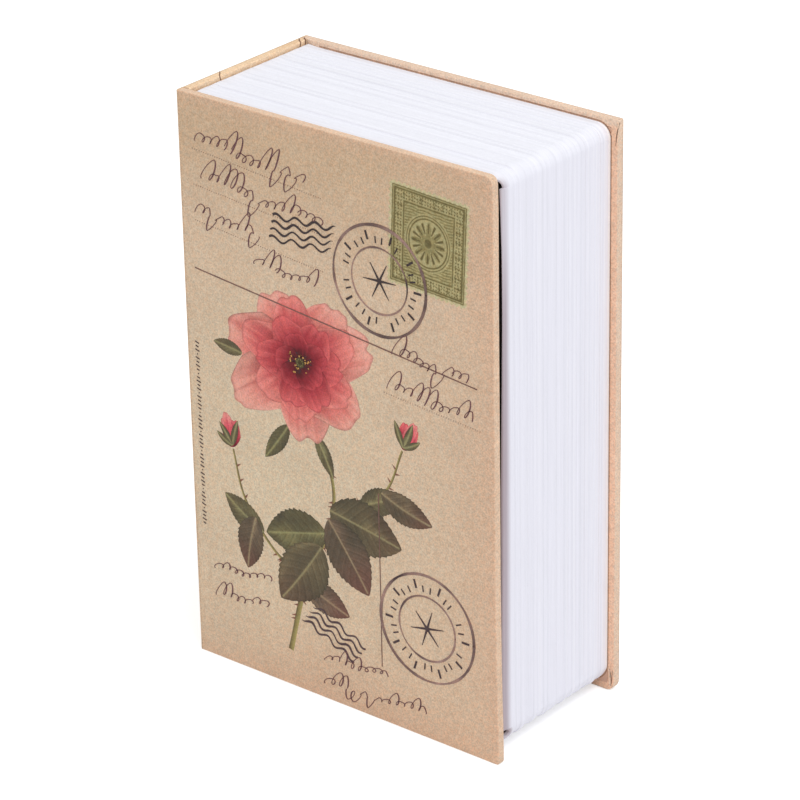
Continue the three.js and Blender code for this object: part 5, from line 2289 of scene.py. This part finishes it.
def main() -> None:
    """Builds the scene in order."""
    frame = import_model()
    Viewpoint().build()
    Studio().build()
    finishes = plain_finishes()
    paper = finishes[Slot.PRINTED_PAPER]
    front_low, front_high = (millimetres(corner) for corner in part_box("front_cover_paper"))
    back_low, back_high = (millimetres(corner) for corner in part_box("back_cover_paper"))
    face = front_low[1] + PRINT_ROOM
    height = front_high[2]
    front_corners = Corners(front_high[0], height, 0.9, 2.4)
    back_corners = Corners(back_high[0], height, 3.2, 0.5)
    board = finishes[Slot.GREY_BOARD]
    inside = front_corners.inside(BOARD_GAP)
    CoverBoard("front_board_core", "front_cover_board", Body.FRONT_COVER, inside).build(board)
    CoverBoard("back_board_core", "back_cover_board", Body.BOOK, back_corners.inside(BOARD_GAP)).build(board)
    square = Corners(back_high[0], height, 0, 0)
    lining = finishes[Slot.LINING_PAPER]
    CoverBoard("back_lining_sheet", "back_endpaper", Body.BOOK, square, Slot.LINING_PAPER).build(lining)
    front = WrappedCover(
        name="front_cover_wrap",
        node="front_cover_paper",
        corners=front_corners,
        side=Side.FRONT,
        body=Body.FRONT_COVER,
        x_range=(SPINE_SIDE, front_high[0]),
        outside=face,
        inside=-HEM_PLANE,
        lined=front_high[1],
        height=height,
        columns=130,
        rows=200,
        flare_heights=(0, 5, 12, 19, 31, 50, 96, 142, 170, 180),
        flares=(1.05, 1.0, 0.92, 0.74, 0.52, 0.34, 0.34, 0.36, 0.46, 0.3),
    )
    front.build(paper)
    bloom = Bloom(face)
    bloom.rings()
    bloom.eye()
    bloom.bud((23.5, 90.5), 72, 11)
    bloom.bud((-41.3, 72.5), 101, 12)
    bloom.finish("print_bloom", paper)
    for name, motif in (
        ("print_foliage", Foliage(face)),
        ("print_panel", OrnamentPanel(face)),
        ("print_marks", CancelMark(face)),
        ("print_pen_work", PenWork(face)),
    ):
        motif.draw()
        motif.finish(name, paper)
    back = WrappedCover(
        name="back_cover_wrap",
        node="back_cover_paper",
        corners=back_corners,
        side=Side.BACK,
        body=Body.BOOK,
        x_range=(SPINE_SIDE, back_high[0]),
        outside=back_high[1],
        inside=HEM_PLANE,
        lined=back_low[1],
        height=height,
        columns=116,
        rows=180,
        paper=CasePaper(
            edge_tone=(0.8, 0.6, 0.46), inside_tone=(0.93, 0.6, 0.42), top_light_share=1.1, fold_shade=0.25
        ),
    )
    back.build(paper)
    SpinePaper().build(paper)
    EdgeLining().build(lining)
    block = PageBlock()
    block.build(finishes[Slot.WHITE_PLASTIC])
    FoldLines().build(paper, height - 0.055, block)
    hidden = (
        "front_cover_paper", "back_cover_paper", "spine_paper", "page_block_shell", "front_cover_board",
        "back_cover_board", "back_endpaper",
    )
    KeptPieces(finishes).dress(frame, hidden)
    bpy.context.view_layer.update()


if __name__ == "__main__":
    logging.basicConfig(level=logging.INFO, format="%(message)s")
    main()
